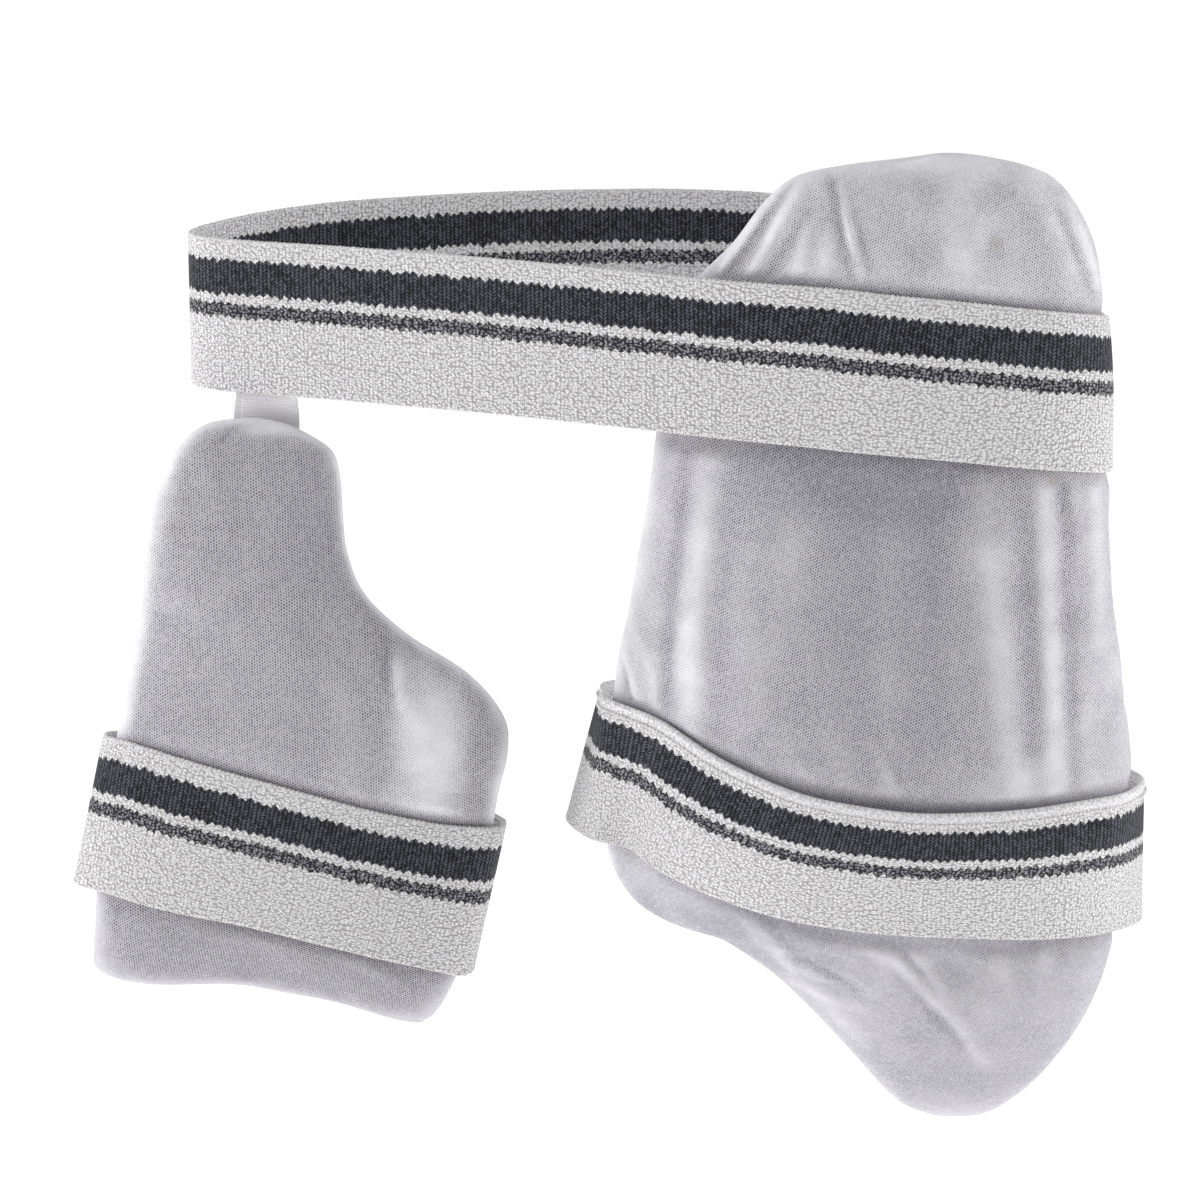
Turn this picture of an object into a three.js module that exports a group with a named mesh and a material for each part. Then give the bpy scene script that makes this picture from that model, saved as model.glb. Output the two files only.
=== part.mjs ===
// A cricket batter's two-piece thigh guard: an outer and an inner thigh pad in knitted covers,
// carried by one elastic waist belt, each with an elastic strap that goes round the leg.
// Millimetres, +Z up, the outer faces of the pads towards -Y. The origin is the middle of the
// waist loop, at the middle of the belt's width.

import * as THREE from "three";

// Driving sizes
const STRAP_CLEARANCE = 1.1;
const TAB_CLEARANCE = { belt: 1.1, pad: 0.9 };
const WEBBING = { width: 68, thickness: 2.4 };
const WAIST_LOOP = { length: 394, depth: 176, drawn: 0.935 };
const OUTER_PAD = { width: 224, height: 433, thickness: 19, depth: 52, beltLevel: 0.79, beltAcross: 0.06 };
const OUTER_LOOP = { depth: 126, drawn: 0.91 };
const INNER_PAD = { width: 176, height: 266, thickness: 17, depth: 12, tilt: 12.5 };
const INNER_LOOP = { depth: 48, drawn: 1 };
const FOOT_REACH = 0.24;
const FOOT_HOLLOW = { depth: 0.0515, from: 0.12, spread: 0.38 };
const FOOT_LOBE = { depth: 0.0207, from: 0.66, spread: 0.26 };
const TAB = { along: -0.411, aside: 4, topWidth: 30.5, footWidth: 27.5, thickness: 1.8 };
const TAB_LENGTH = { shown: 11.5, onBelt: 30, onPad: 26, twist: 16 };
const WRAPPED_EDGE = 0.42;
const FOLD_FADE = 0.3;
const EDGE_BULGE = 0.7;
const PRESS = { depth: 2.5, margin: 5, shoulder: 9 };

// Facets
const OUTER_FACETS = { rows: 42, columns: 40 };
const INNER_FACETS = { rows: 38, columns: 32 };
const ROW_CROWDING = 0.4;
const TAB_STEPS = 14;
const PLAN_STEPS = 120;
const NEARBY = 0.02;
const LOOP_STEPS = { waist: 104, outer: 84, inner: 72 };
const WEBBING_LEVELS = [-1, -0.34, 0.34, 1];

// Outline of the outer pad. up: share of its height; from, to: its left and right edge, as
// shares of its width; back: how far its front line stands back, as a share of its width.
const OUTER_OUTLINE = [
  { up: 0, from: 0.69, to: 0.69, back: 0.2 },
  { up: 0.006, from: 0.632, to: 0.745, back: 0.19 },
  { up: 0.018, from: 0.584, to: 0.775, back: 0.178 },
  { up: 0.03, from: 0.56, to: 0.797, back: 0.168 },
  { up: 0.069, from: 0.496, to: 0.855, back: 0.145 },
  { up: 0.113, from: 0.42, to: 0.905, back: 0.12 },
  { up: 0.155, from: 0.338, to: 0.938, back: 0.098 },
  { up: 0.182, from: 0.264, to: 0.954, back: 0.084 },
  { up: 0.198, from: 0.204, to: 0.962, back: 0.076 },
  { up: 0.208, from: 0.122, to: 0.966, back: 0.07 },
  { up: 0.222, from: 0.068, to: 0.972, back: 0.062 },
  { up: 0.24, from: 0.036, to: 0.979, back: 0.053 },
  { up: 0.265, from: 0.012, to: 0.986, back: 0.041 },
  { up: 0.295, from: 0, to: 0.992, back: 0.028 },
  { up: 0.34, from: 0, to: 0.994, back: 0.01 },
  { up: 0.471, from: 0.02, to: 0.964, back: 0 },
  { up: 0.553, from: 0.049, to: 0.938, back: 0 },
  { up: 0.674, from: 0.085, to: 0.92, back: 0 },
  { up: 0.773, from: 0.107, to: 0.913, back: 0 },
  { up: 0.863, from: 0.156, to: 0.893, back: 0.002 },
  { up: 0.912, from: 0.237, to: 0.875, back: 0.006 },
  { up: 0.956, from: 0.3, to: 0.835, back: 0.014 },
  { up: 0.977, from: 0.352, to: 0.799, back: 0.02 },
  { up: 0.987, from: 0.428, to: 0.759, back: 0.022 },
  { up: 0.996, from: 0.554, to: 0.692, back: 0.026 },
  { up: 1, from: 0.621, to: 0.621, back: 0.028 },
];

// How the outer pad turns round the thigh. across: from its left edge, -1, to its right
// edge, 1; turn: the direction of its surface in plan, in degrees.
const OUTER_BEND = [
  { across: -1, turn: -58 },
  { across: -0.6, turn: -34 },
  { across: -0.2, turn: -12 },
  { across: 0.12, turn: 0 },
  { across: 0.42, turn: 12 },
  { across: 0.64, turn: 38 },
  { across: 0.82, turn: 74 },
  { across: 1, turn: 102 },
];

// Outline of the inner pad, with the same columns, on its own upright axis.
const INNER_OUTLINE = [
  { up: 0, from: 0.45, to: 0.45, back: 0 },
  { up: 0.006, from: 0.14, to: 0.88, back: 0 },
  { up: 0.015, from: 0.085, to: 0.93, back: 0 },
  { up: 0.04, from: 0.07, to: 0.955, back: 0 },
  { up: 0.08, from: 0.062, to: 0.972, back: 0 },
  { up: 0.13, from: 0.05, to: 0.985, back: 0 },
  { up: 0.29, from: 0.028, to: 1, back: 0 },
  { up: 0.45, from: 0.02, to: 0.985, back: 0 },
  { up: 0.53, from: 0.02, to: 0.985, back: 0 },
  { up: 0.59, from: 0.015, to: 0.955, back: 0 },
  { up: 0.65, from: 0.012, to: 0.845, back: 0 },
  { up: 0.695, from: 0.008, to: 0.68, back: 0 },
  { up: 0.745, from: 0.003, to: 0.56, back: 0 },
  { up: 0.806, from: 0, to: 0.495, back: 0 },
  { up: 0.87, from: 0.012, to: 0.462, back: 0 },
  { up: 0.936, from: 0.045, to: 0.434, back: 0 },
  { up: 0.972, from: 0.095, to: 0.402, back: 0 },
  { up: 0.99, from: 0.16, to: 0.34, back: 0 },
  { up: 1, from: 0.25, to: 0.25, back: 0 },
];

const INNER_BEND = [
  { across: -1, turn: -22 },
  { across: -0.3, turn: -6 },
  { across: 0.2, turn: 2 },
  { across: 1, turn: 24 },
];

// Soft folds and ridges in the covers. across: middle of the fold; spread: its half width;
// rise: its height, as a share of the pad's thickness; from, to: its ends, as shares of the
// pad's height; slant: how far its middle moves across over the whole height.
const OUTER_FOLDS = [
  { across: -0.86, spread: 0.05, rise: -0.09, from: 0.44, to: 0.72, slant: -0.1 },
  { across: -0.74, spread: 0.06, rise: 0.08, from: 0.42, to: 0.72, slant: -0.1 },
  { across: 0.02, spread: 0.12, rise: 0.05, from: 0.4, to: 0.7, slant: 0 },
  { across: 0.33, spread: 0.06, rise: 0.09, from: 0.38, to: 0.7, slant: 0.12 },
  { across: 0.4, spread: 0.035, rise: -0.08, from: 0.4, to: 0.7, slant: 0.12 },
  { across: 0.5, spread: 0.06, rise: 0.09, from: 0.38, to: 0.7, slant: 0.1 },
  { across: 0.62, spread: 0.04, rise: -0.07, from: 0.4, to: 0.7, slant: 0.1 },
  { across: -0.3, spread: 0.05, rise: 0.09, from: 0.84, to: 0.96, slant: 2.6 },
  { across: -0.08, spread: 0.05, rise: 0.1, from: 0.84, to: 0.98, slant: 1.6 },
  { across: 0.5, spread: 0.06, rise: 0.08, from: 0.84, to: 0.96, slant: -1.2 },
  { across: -0.1, spread: 0.08, rise: 0.1, from: 0.04, to: 0.19, slant: -2 },
  { across: 0.3, spread: 0.07, rise: 0.09, from: 0.03, to: 0.19, slant: -1.6 },
  { across: 0.62, spread: 0.05, rise: 0.07, from: 0.1, to: 0.2, slant: -0.8 },
];

const INNER_FOLDS = [
  { across: 0.26, spread: 0.07, rise: -0.09, from: 0.36, to: 0.62, slant: 0.1 },
  { across: 0.5, spread: 0.16, rise: 0.08, from: 0.34, to: 0.6, slant: 0 },
  { across: -0.1, spread: 0.3, rise: 0.05, from: 0.84, to: 0.97, slant: 0 },
];

// The waist belt where it crosses the outer pad. across: place on the pad; rise: height of
// the belt's middle, as a share of the webbing's width.
const BELT_ON_PAD = [
  { across: -0.3, rise: -0.115 },
  { across: -0.12, rise: -0.143 },
  { across: 0.06, rise: -0.167 },
  { across: 0.24, rise: -0.196 },
  { across: 0.42, rise: -0.232 },
  { across: 0.58, rise: -0.265 },
  { across: 0.72, rise: -0.298 },
  { across: 0.83, rise: -0.325 },
  { across: 0.92, rise: -0.335 },
];

// The waist belt behind the pad and round the back, on from the pad's right edge. along, away:
// shares of the loop's length and depth; rise: as above.
const BELT_BACK = [
  { along: 0.487, away: -0.12, rise: -0.335 },
  { along: 0.475, away: 0.08, rise: -0.3 },
  { along: 0.435, away: 0.3, rise: -0.15 },
  { along: 0.36, away: 0.41, rise: -0.02 },
  { along: 0.265, away: 0.465, rise: 0.09 },
  { along: 0.16, away: 0.487, rise: 0.17 },
  { along: 0.05, away: 0.493, rise: 0.2 },
  { along: -0.06, away: 0.487, rise: 0.2 },
  { along: -0.165, away: 0.465, rise: 0.19 },
  { along: -0.265, away: 0.427, rise: 0.17 },
  { along: -0.35, away: 0.368, rise: 0.15 },
  { along: -0.42, away: 0.28, rise: 0.12 },
  { along: -0.47, away: 0.165, rise: 0.09 },
];

// The waist belt's front stretch, from the fold at its left end to the outer pad.
const BELT_FRONT = [
  { along: -0.495, away: 0.045, rise: 0.07 },
  { along: -0.478, away: -0.04, rise: 0.058 },
  { along: -0.415, away: -0.108, rise: 0.05 },
  { along: -0.333, away: -0.17, rise: 0.042 },
  { along: -0.25, away: -0.229, rise: 0.026 },
  { along: -0.165, away: -0.287, rise: 0.008 },
  { along: -0.08, away: -0.341, rise: -0.018 },
  { along: 0.005, away: -0.392, rise: -0.047 },
  { along: 0.085, away: -0.435, rise: -0.08 },
];

// The outer pad's leg strap on the pad. up: height of the strap's middle, as a share of the
// pad's height; stand: how far its upper edge stands off the pad, as a share of its width.
const OUTER_STRAP_ON_PAD = [
  { across: -0.78, up: 0.364, stand: 0.03 },
  { across: -0.63, up: 0.345, stand: 0.035 },
  { across: -0.48, up: 0.328, stand: 0.05 },
  { across: -0.3, up: 0.309, stand: 0.08 },
  { across: -0.12, up: 0.297, stand: 0.11 },
  { across: 0.06, up: 0.289, stand: 0.13 },
  { across: 0.24, up: 0.286, stand: 0.11 },
  { across: 0.42, up: 0.287, stand: 0.08 },
  { across: 0.58, up: 0.29, stand: 0.055 },
  { across: 0.72, up: 0.289, stand: 0.04 },
];

// The rest of that strap, on from the pad's right side. along: share of the pad's width from
// its left line; away: share of the loop's depth from the pad's front line; tip: how far the
// upper edge leans to the right of the lower one, as a share of the strap's width.
const OUTER_STRAP_FREE = [
  { along: 1.044, away: 0.44, up: 0.283, tip: -0.01 },
  { along: 1.041, away: 0.62, up: 0.279, tip: 0 },
  { along: 0.975, away: 0.79, up: 0.279, tip: 0 },
  { along: 0.86, away: 0.9, up: 0.284, tip: 0 },
  { along: 0.74, away: 0.97, up: 0.294, tip: 0 },
  { along: 0.61, away: 1, up: 0.306, tip: 0.02 },
  { along: 0.48, away: 1, up: 0.32, tip: 0.05 },
  { along: 0.35, away: 0.98, up: 0.333, tip: 0.09 },
  { along: 0.22, away: 0.94, up: 0.345, tip: 0.14 },
  { along: 0.1, away: 0.88, up: 0.356, tip: 0.19 },
  { along: 0.015, away: 0.8, up: 0.364, tip: 0.23 },
  { along: -0.039, away: 0.69, up: 0.37, tip: 0.26 },
  { along: -0.034, away: 0.53, up: 0.373, tip: 0.22 },
  { along: -0.012, away: 0.385, up: 0.374, tip: 0.08 },
];

// The inner pad's leg strap on the pad, then round behind it, with the same columns on the
// inner pad's own axes.
const INNER_STRAP_ON_PAD = [
  { across: -0.9, up: 0.281, stand: 0 },
  { across: -0.68, up: 0.279, stand: 0 },
  { across: -0.44, up: 0.275, stand: 0 },
  { across: -0.2, up: 0.271, stand: 0 },
  { across: 0.04, up: 0.268, stand: 0 },
  { across: 0.28, up: 0.267, stand: 0 },
  { across: 0.52, up: 0.268, stand: 0 },
  { across: 0.74, up: 0.27, stand: 0 },
];

const INNER_STRAP_FREE = [
  { along: 0.985, away: 0.28, up: 0.27, tip: 0 },
  { along: 1.014, away: 0.45, up: 0.27, tip: 0 },
  { along: 1.008, away: 0.68, up: 0.27, tip: 0 },
  { along: 0.93, away: 0.87, up: 0.27, tip: 0 },
  { along: 0.81, away: 0.96, up: 0.27, tip: 0 },
  { along: 0.66, away: 1, up: 0.27, tip: 0 },
  { along: 0.5, away: 1, up: 0.27, tip: 0 },
  { along: 0.34, away: 1, up: 0.27, tip: 0 },
  { along: 0.19, away: 0.96, up: 0.27, tip: 0 },
  { along: 0.07, away: 0.87, up: 0.272, tip: 0 },
  { along: 0, away: 0.68, up: 0.275, tip: 0 },
  { along: -0.003, away: 0.45, up: 0.278, tip: 0 },
];

const cloth = (colour, roughness) =>
  new THREE.MeshStandardMaterial({ color: colour, roughness, metalness: 0 });

const MATERIALS = {
  cover: cloth("#c3c1c8", 0.95),
  elastic: cloth("#dfdddb", 0.95),
  tape: cloth("#eceaea", 0.8),
};

const mix = (a, b, share) => a + (b - a) * share;

const smooth = (share) => {
  const t = Math.min(1, Math.max(0, share));
  return t * t * (3 - 2 * t);
};

// Reads a column of a table at any place, as a smooth curve through its rows
function read(table, key, column, place, spacing = (value) => value) {
  const last = table.length - 1;
  let row = 0;
  while (row < last - 1 && place > table[row + 1][key]) row += 1;
  const at = (index) => spacing(table[index][key]);
  const slope = (index) => {
    const before = Math.max(0, index - 1);
    const after = Math.min(last, index + 1);
    return (table[after][column] - table[before][column]) / (at(after) - at(before));
  };
  const gap = at(row + 1) - at(row);
  const t = Math.min(1, Math.max(0, (spacing(place) - at(row)) / gap));
  const start = table[row][column];
  const end = table[row + 1][column];
  const bowFrom = 2 * t ** 3 - 3 * t ** 2 + 1;
  const bowOut = t ** 3 - 2 * t ** 2 + t;
  const bowIn = t ** 3 - t ** 2;
  return bowFrom * start + (1 - bowFrom) * end + gap * (bowOut * slope(row) + bowIn * slope(row + 1));
}

// Spaces heights as a round end does, so that an outline closes in a smooth curve
const roundEnds = (up) => Math.acos(1 - 2 * Math.min(1, Math.max(0, up)));

// Plan of a bent pad, from its left edge to its right: places and outward directions, with
// the width from edge line to edge line as 1 and the nearest line at depth 0
function planOf(bend) {
  const plan = [{ across: -1, x: 0, y: 0 }];
  for (let step = 1; step <= PLAN_STEPS; step += 1) {
    const across = -1 + (2 * step) / PLAN_STEPS;
    const turn = THREE.MathUtils.degToRad(read(bend, "across", "turn", across - 1 / PLAN_STEPS));
    const before = plan[step - 1];
    plan.push({ across, x: before.x + Math.cos(turn), y: before.y + Math.sin(turn) });
  }
  const right = Math.max(...plan.map((point) => point.x));
  const front = Math.min(...plan.map((point) => point.y));
  const back = Math.max(plan[0].y, plan[PLAN_STEPS].y) - front;
  return plan.map((point) => ({
    across: point.across,
    x: point.x / right,
    y: (point.y - front) / back,
  }));
}

// A padded panel. Its point function gives a place on its outer face, face 1, its inner face,
// face -1, or its middle, face 0, moved out along the surface by a distance.
function makePanel({ size, outline, bend, folds, corner, warp, pressedBy }) {
  const plan = planOf(bend);

  const planAt = (across, column) => {
    const place = ((Math.min(1, Math.max(-1, across)) + 1) / 2) * PLAN_STEPS;
    const row = Math.min(PLAN_STEPS - 1, Math.floor(place));
    return mix(plan[row][column], plan[row + 1][column], place - row);
  };

  const middle = (across, up) => {
    const from = read(outline, "up", "from", up, roundEnds);
    const to = read(outline, "up", "to", up, roundEnds);
    const back = read(outline, "up", "back", up, roundEnds);
    const span = Math.max(to - from, 0);
    const x = size.width * (from + span * planAt(across, "x"));
    const y = size.width * back + size.depth * span ** 2 * planAt(across, "y");
    const z = size.height * up + warp(x / size.width, up);
    return new THREE.Vector3(corner.x + x, corner.y + y, corner.z + z);
  };

  const outward = (across, up) => {
    const before = middle(Math.max(-1, across - NEARBY), up);
    const after = middle(Math.min(1, across + NEARBY), up);
    const along = after.sub(before).setZ(0);
    return new THREE.Vector3(along.y, -along.x, 0).normalize();
  };

  const relief = (across, up) => {
    let height = 0;
    for (const fold of folds) {
      const centre = fold.across + fold.slant * (up - (fold.from + fold.to) / 2);
      const side = Math.exp(-(((across - centre) / fold.spread) ** 2));
      const fade = (fold.to - fold.from) * FOLD_FADE;
      const ends = smooth((up - fold.from) / fade) * smooth((fold.to - up) / fade);
      height += size.thickness * fold.rise * side * ends;
    }
    return height;
  };

  const pressed = (across, up) => {
    let depth = 0;
    for (const band of pressedBy) {
      const off = Math.abs(size.height * (up - band.levelAt(across))) - band.width / 2 - PRESS.margin;
      depth += PRESS.depth * (1 - smooth(off / PRESS.shoulder));
    }
    return depth;
  };

  const halfThickness = (across, up) => {
    const sides = Math.sqrt(Math.max(0, 1 - across ** 4));
    const ends = Math.sqrt(Math.max(0, 1 - (2 * up - 1) ** 8));
    return (size.thickness / 2) * sides * ends;
  };

  const point = (across, up, face, distance = 0) => {
    const half = halfThickness(across, up);
    const full = (2 * half) / size.thickness;
    const outer = face > 0 ? (relief(across, up) - pressed(across, up)) * full : 0;
    const reach = face * half + outer + distance;
    return middle(across, up).addScaledVector(outward(across, up), reach);
  };

  return { size, corner, point };
}

// Rings of a panel's skin, from its lower end to its upper end
function panelRings(panel, facets) {
  const rings = [];
  for (let row = 0; row <= facets.rows; row += 1) {
    const share = row / facets.rows;
    const place = share + (ROW_CROWDING * Math.sin(2 * Math.PI * share)) / (2 * Math.PI);
    const up = (1 - Math.cos(Math.PI * place)) / 2;
    const ring = [];
    for (let column = 0; column < facets.columns; column += 1) {
      const angle = (2 * Math.PI * column) / facets.columns;
      const face = Math.sin(angle) >= 0 ? 1 : -1;
      ring.push(panel.point(-Math.cos(angle), up, face));
    }
    rings.push(ring);
  }
  return rings;
}

// Joins rings of equal count into a skin; a closed run joins its last ring to its first, and
// an open one ends in a point at each end
function skinOf(rings, closedRun) {
  const count = rings[1].length;
  const body = closedRun ? rings : rings.slice(1, -1);
  const places = body.flat();
  const faces = [];
  const index = (row, column) => (row % body.length) * count + (column % count);
  const lastRow = closedRun ? body.length : body.length - 1;
  for (let row = 0; row < lastRow; row += 1) {
    for (let column = 0; column < count; column += 1) {
      const a = index(row, column);
      const b = index(row, column + 1);
      const c = index(row + 1, column + 1);
      const d = index(row + 1, column);
      faces.push(a, b, c, a, c, d);
    }
  }
  if (!closedRun) {
    const foot = places.push(rings[0][0]) - 1;
    const head = places.push(rings[rings.length - 1][0]) - 1;
    for (let column = 0; column < count; column += 1) {
      faces.push(foot, index(0, column + 1), index(0, column));
      faces.push(head, index(body.length - 1, column), index(body.length - 1, column + 1));
    }
  }
  const geometry = new THREE.BufferGeometry().setFromPoints(places);
  geometry.setIndex(faces);
  geometry.computeVertexNormals();
  return geometry;
}

// A closed loop of webbing. Each station gives the webbing's middle and, for a level from
// its lower edge, -1, to its upper edge, 1, a place on its middle surface.
function loopGeometry(stations, steps) {
  const lines = WEBBING_LEVELS.map((level) => {
    const points = stations.map((station) => station(level));
    return new THREE.CatmullRomCurve3(points, true, "catmullrom", 0.5);
  });
  const rings = [];
  for (let step = 0; step < steps; step += 1) {
    const place = step / steps;
    const middles = lines.map((line) => line.getPoint(place));
    const along = lines[1].getTangent(place);
    const last = middles.length - 1;
    const across = middles[last].clone().sub(middles[0]).normalize();
    const out = new THREE.Vector3().crossVectors(along, across).normalize();
    const half = WEBBING.thickness / 2;
    const outer = middles.map((point) => point.clone().addScaledVector(out, half));
    const inner = middles.map((point) => point.clone().addScaledVector(out, -half));
    const upperEdge = middles[last].clone().addScaledVector(across, half * EDGE_BULGE);
    const lowerEdge = middles[0].clone().addScaledVector(across, -half * EDGE_BULGE);
    rings.push([lowerEdge, ...inner, upperEdge, ...outer.reverse()]);
  }
  return skinOf(rings, true);
}

// Stations of webbing that lies on a panel's outer face
function stationsOnPanel(panel, rows, levelOf, width, stand) {
  const lift = STRAP_CLEARANCE + WEBBING.thickness / 2;
  return rows.map((row) => (level) => {
    const left = panel.point(row.across - NEARBY, levelOf(row.across - NEARBY), 1);
    const right = panel.point(row.across + NEARBY, levelOf(row.across + NEARBY), 1);
    const run = Math.hypot(right.x - left.x, right.y - left.y);
    const slope = (right.z - left.z) / run;
    const reach = (level * width) / 2 / Math.hypot(1, slope);
    const across = row.across - (reach * slope * 2 * NEARBY) / run;
    const up = levelOf(row.across) + reach / panel.size.height;
    const off = lift + stand(row.across) * width * Math.max(0, (level + 1) / 2) ** 2;
    return panel.point(across, up, 1, off);
  });
}

// Stations of webbing that hangs free, from its middle and the direction across it
const freeStation = (middle, across, width) => (level) =>
  middle.clone().addScaledVector(across.clone().normalize(), (level * width) / 2);

const beltWidth = WEBBING.width * WAIST_LOOP.drawn;
const outerStrapWidth = WEBBING.width * OUTER_LOOP.drawn;
const innerStrapWidth = WEBBING.width * INNER_LOOP.drawn;
const beltMiddle = (rise) => rise * WEBBING.width;

const beltCrossing = beltMiddle(read(BELT_ON_PAD, "across", "rise", OUTER_PAD.beltAcross));
const outerPadFoot = beltCrossing - OUTER_PAD.height * OUTER_PAD.beltLevel;
const outerEdgeAtBelt = read(OUTER_OUTLINE, "up", "to", OUTER_PAD.beltLevel, roundEnds);

const beltOnPad = {
  width: beltWidth,
  levelAt: (across) => {
    const height = beltMiddle(read(BELT_ON_PAD, "across", "rise", across));
    return (height - outerPadFoot) / OUTER_PAD.height;
  },
};

const strapOnOuterPad = {
  width: outerStrapWidth,
  levelAt: (across) => read(OUTER_STRAP_ON_PAD, "across", "up", across),
};

const strapOnInnerPad = {
  width: innerStrapWidth,
  levelAt: (across) => read(INNER_STRAP_ON_PAD, "across", "up", across),
};

const outerPad = makePanel({
  size: OUTER_PAD,
  outline: OUTER_OUTLINE,
  bend: OUTER_BEND,
  folds: OUTER_FOLDS,
  warp: () => 0,
  pressedBy: [beltOnPad, strapOnOuterPad],
  corner: new THREE.Vector3(
    WAIST_LOOP.length / 2 - OUTER_PAD.thickness * WRAPPED_EDGE - OUTER_PAD.width * outerEdgeAtBelt,
    -WAIST_LOOP.depth / 2 + OUTER_PAD.thickness / 2,
    outerPadFoot,
  ),
});

// The inner pad's lower edge is hollowed between its two lobes, the right one the higher
const innerFoot = (x, up) => {
  const low = 1 - smooth(up / FOOT_REACH);
  const hollow = FOOT_HOLLOW.depth * smooth((x - FOOT_HOLLOW.from) / FOOT_HOLLOW.spread);
  const lobe = FOOT_LOBE.depth * smooth((x - FOOT_LOBE.from) / FOOT_LOBE.spread);
  return INNER_PAD.height * low * (hollow - lobe);
};

const innerPad = makePanel({
  size: INNER_PAD,
  outline: INNER_OUTLINE,
  bend: INNER_BEND,
  folds: INNER_FOLDS,
  warp: innerFoot,
  pressedBy: [strapOnInnerPad],
  corner: new THREE.Vector3(0, 0, 0),
});

// The waist loop's place at a row of its tables, or anywhere on its front stretch
const beltPlace = (row) =>
  new THREE.Vector3(row.along * WAIST_LOOP.length, row.away * WAIST_LOOP.depth, beltMiddle(row.rise));

const beltFrontAt = (along) =>
  beltPlace({
    along,
    away: read(BELT_FRONT.slice(1), "along", "away", along),
    rise: read(BELT_FRONT.slice(1), "along", "rise", along),
  });

function waistBeltGeometry() {
  const upright = new THREE.Vector3(0, 0, 1);
  const free = (row) => freeStation(beltPlace(row), upright, beltWidth);
  const onPad = stationsOnPanel(outerPad, BELT_ON_PAD, beltOnPad.levelAt, beltWidth, () => 0);
  return loopGeometry([...onPad, ...BELT_BACK.map(free), ...BELT_FRONT.map(free)], LOOP_STEPS.waist);
}

function legLoopGeometry({ panel, loop, band, onRows, freeRows, steps }) {
  const stand = (across) => read(onRows, "across", "stand", across);
  const onPad = stationsOnPanel(panel, onRows, band.levelAt, band.width, stand);
  const front = panel.corner.y - panel.size.thickness / 2;
  const free = freeRows.map((row) => {
    const middle = new THREE.Vector3(
      panel.corner.x + row.along * panel.size.width,
      front + row.away * loop.depth,
      panel.corner.z + row.up * panel.size.height,
    );
    return freeStation(middle, new THREE.Vector3(row.tip, 0, 1), band.width);
  });
  return loopGeometry([...onPad, ...free], steps);
}

// The tape that the inner pad hangs by, from behind the belt down behind the pad. Its upper
// end lies along the belt and its foot along the pad.
const apexShare = INNER_OUTLINE.at(-1).from;
const innerApex = new THREE.Vector3(apexShare * INNER_PAD.width, 0, INNER_PAD.height);
const tabTop = beltFrontAt(TAB.along);
const tabReach = TAB.topWidth / 2 / WAIST_LOOP.length;
const beltAtTabEnds = beltFrontAt(TAB.along + tabReach).sub(beltFrontAt(TAB.along - tabReach));
const beltTurn = Math.atan2(beltAtTabEnds.y, beltAtTabEnds.x);
const beltFoot = tabTop.z - beltWidth / 2;
const tabLine = tabTop.y + (WEBBING.thickness + TAB.thickness) / 2 + TAB_CLEARANCE.belt;

function tabGeometry() {
  const high = beltFoot + TAB_LENGTH.onBelt;
  const low = beltFoot - TAB_LENGTH.shown - TAB_LENGTH.onPad;
  const rings = [];
  for (let step = 0; step <= TAB_STEPS; step += 1) {
    const share = step / TAB_STEPS;
    const z = mix(low, high, share);
    const turned = smooth(1 - (beltFoot - z) / TAB_LENGTH.twist) * beltTurn;
    const halfWidth = mix(TAB.footWidth, TAB.topWidth, share) / 2;
    const along = new THREE.Vector3(Math.cos(turned), Math.sin(turned), 0).multiplyScalar(halfWidth);
    const through = new THREE.Vector3(-Math.sin(turned), Math.cos(turned), 0);
    through.multiplyScalar(TAB.thickness / 2);
    const middle = new THREE.Vector3(tabTop.x, tabLine, z);
    rings.push([
      middle.clone().sub(along).sub(through),
      middle.clone().add(along).sub(through),
      middle.clone().add(along).add(through),
      middle.clone().sub(along).add(through),
    ]);
  }
  const foot = new THREE.Vector3(tabTop.x, tabLine, low);
  const head = new THREE.Vector3(tabTop.x, tabLine, high);
  return skinOf([[foot], ...rings, [head]], false);
}

function piece(name, geometry, material) {
  const mesh = new THREE.Mesh(geometry, material);
  mesh.name = name;
  return mesh;
}

const outerStrap = legLoopGeometry({
  panel: outerPad,
  loop: OUTER_LOOP,
  band: strapOnOuterPad,
  onRows: OUTER_STRAP_ON_PAD,
  freeRows: OUTER_STRAP_FREE,
  steps: LOOP_STEPS.outer,
});

const innerStrap = legLoopGeometry({
  panel: innerPad,
  loop: INNER_LOOP,
  band: strapOnInnerPad,
  onRows: INNER_STRAP_ON_PAD,
  freeRows: INNER_STRAP_FREE,
  steps: LOOP_STEPS.inner,
});

const group = new THREE.Group();
group.add(piece("outer_thigh_pad", skinOf(panelRings(outerPad, OUTER_FACETS), false), MATERIALS.cover));
group.add(piece("waist_belt", waistBeltGeometry(), MATERIALS.elastic));
group.add(piece("outer_leg_strap", outerStrap, MATERIALS.elastic));
group.add(piece("hanging_tab", tabGeometry(), MATERIALS.tape));

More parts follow.
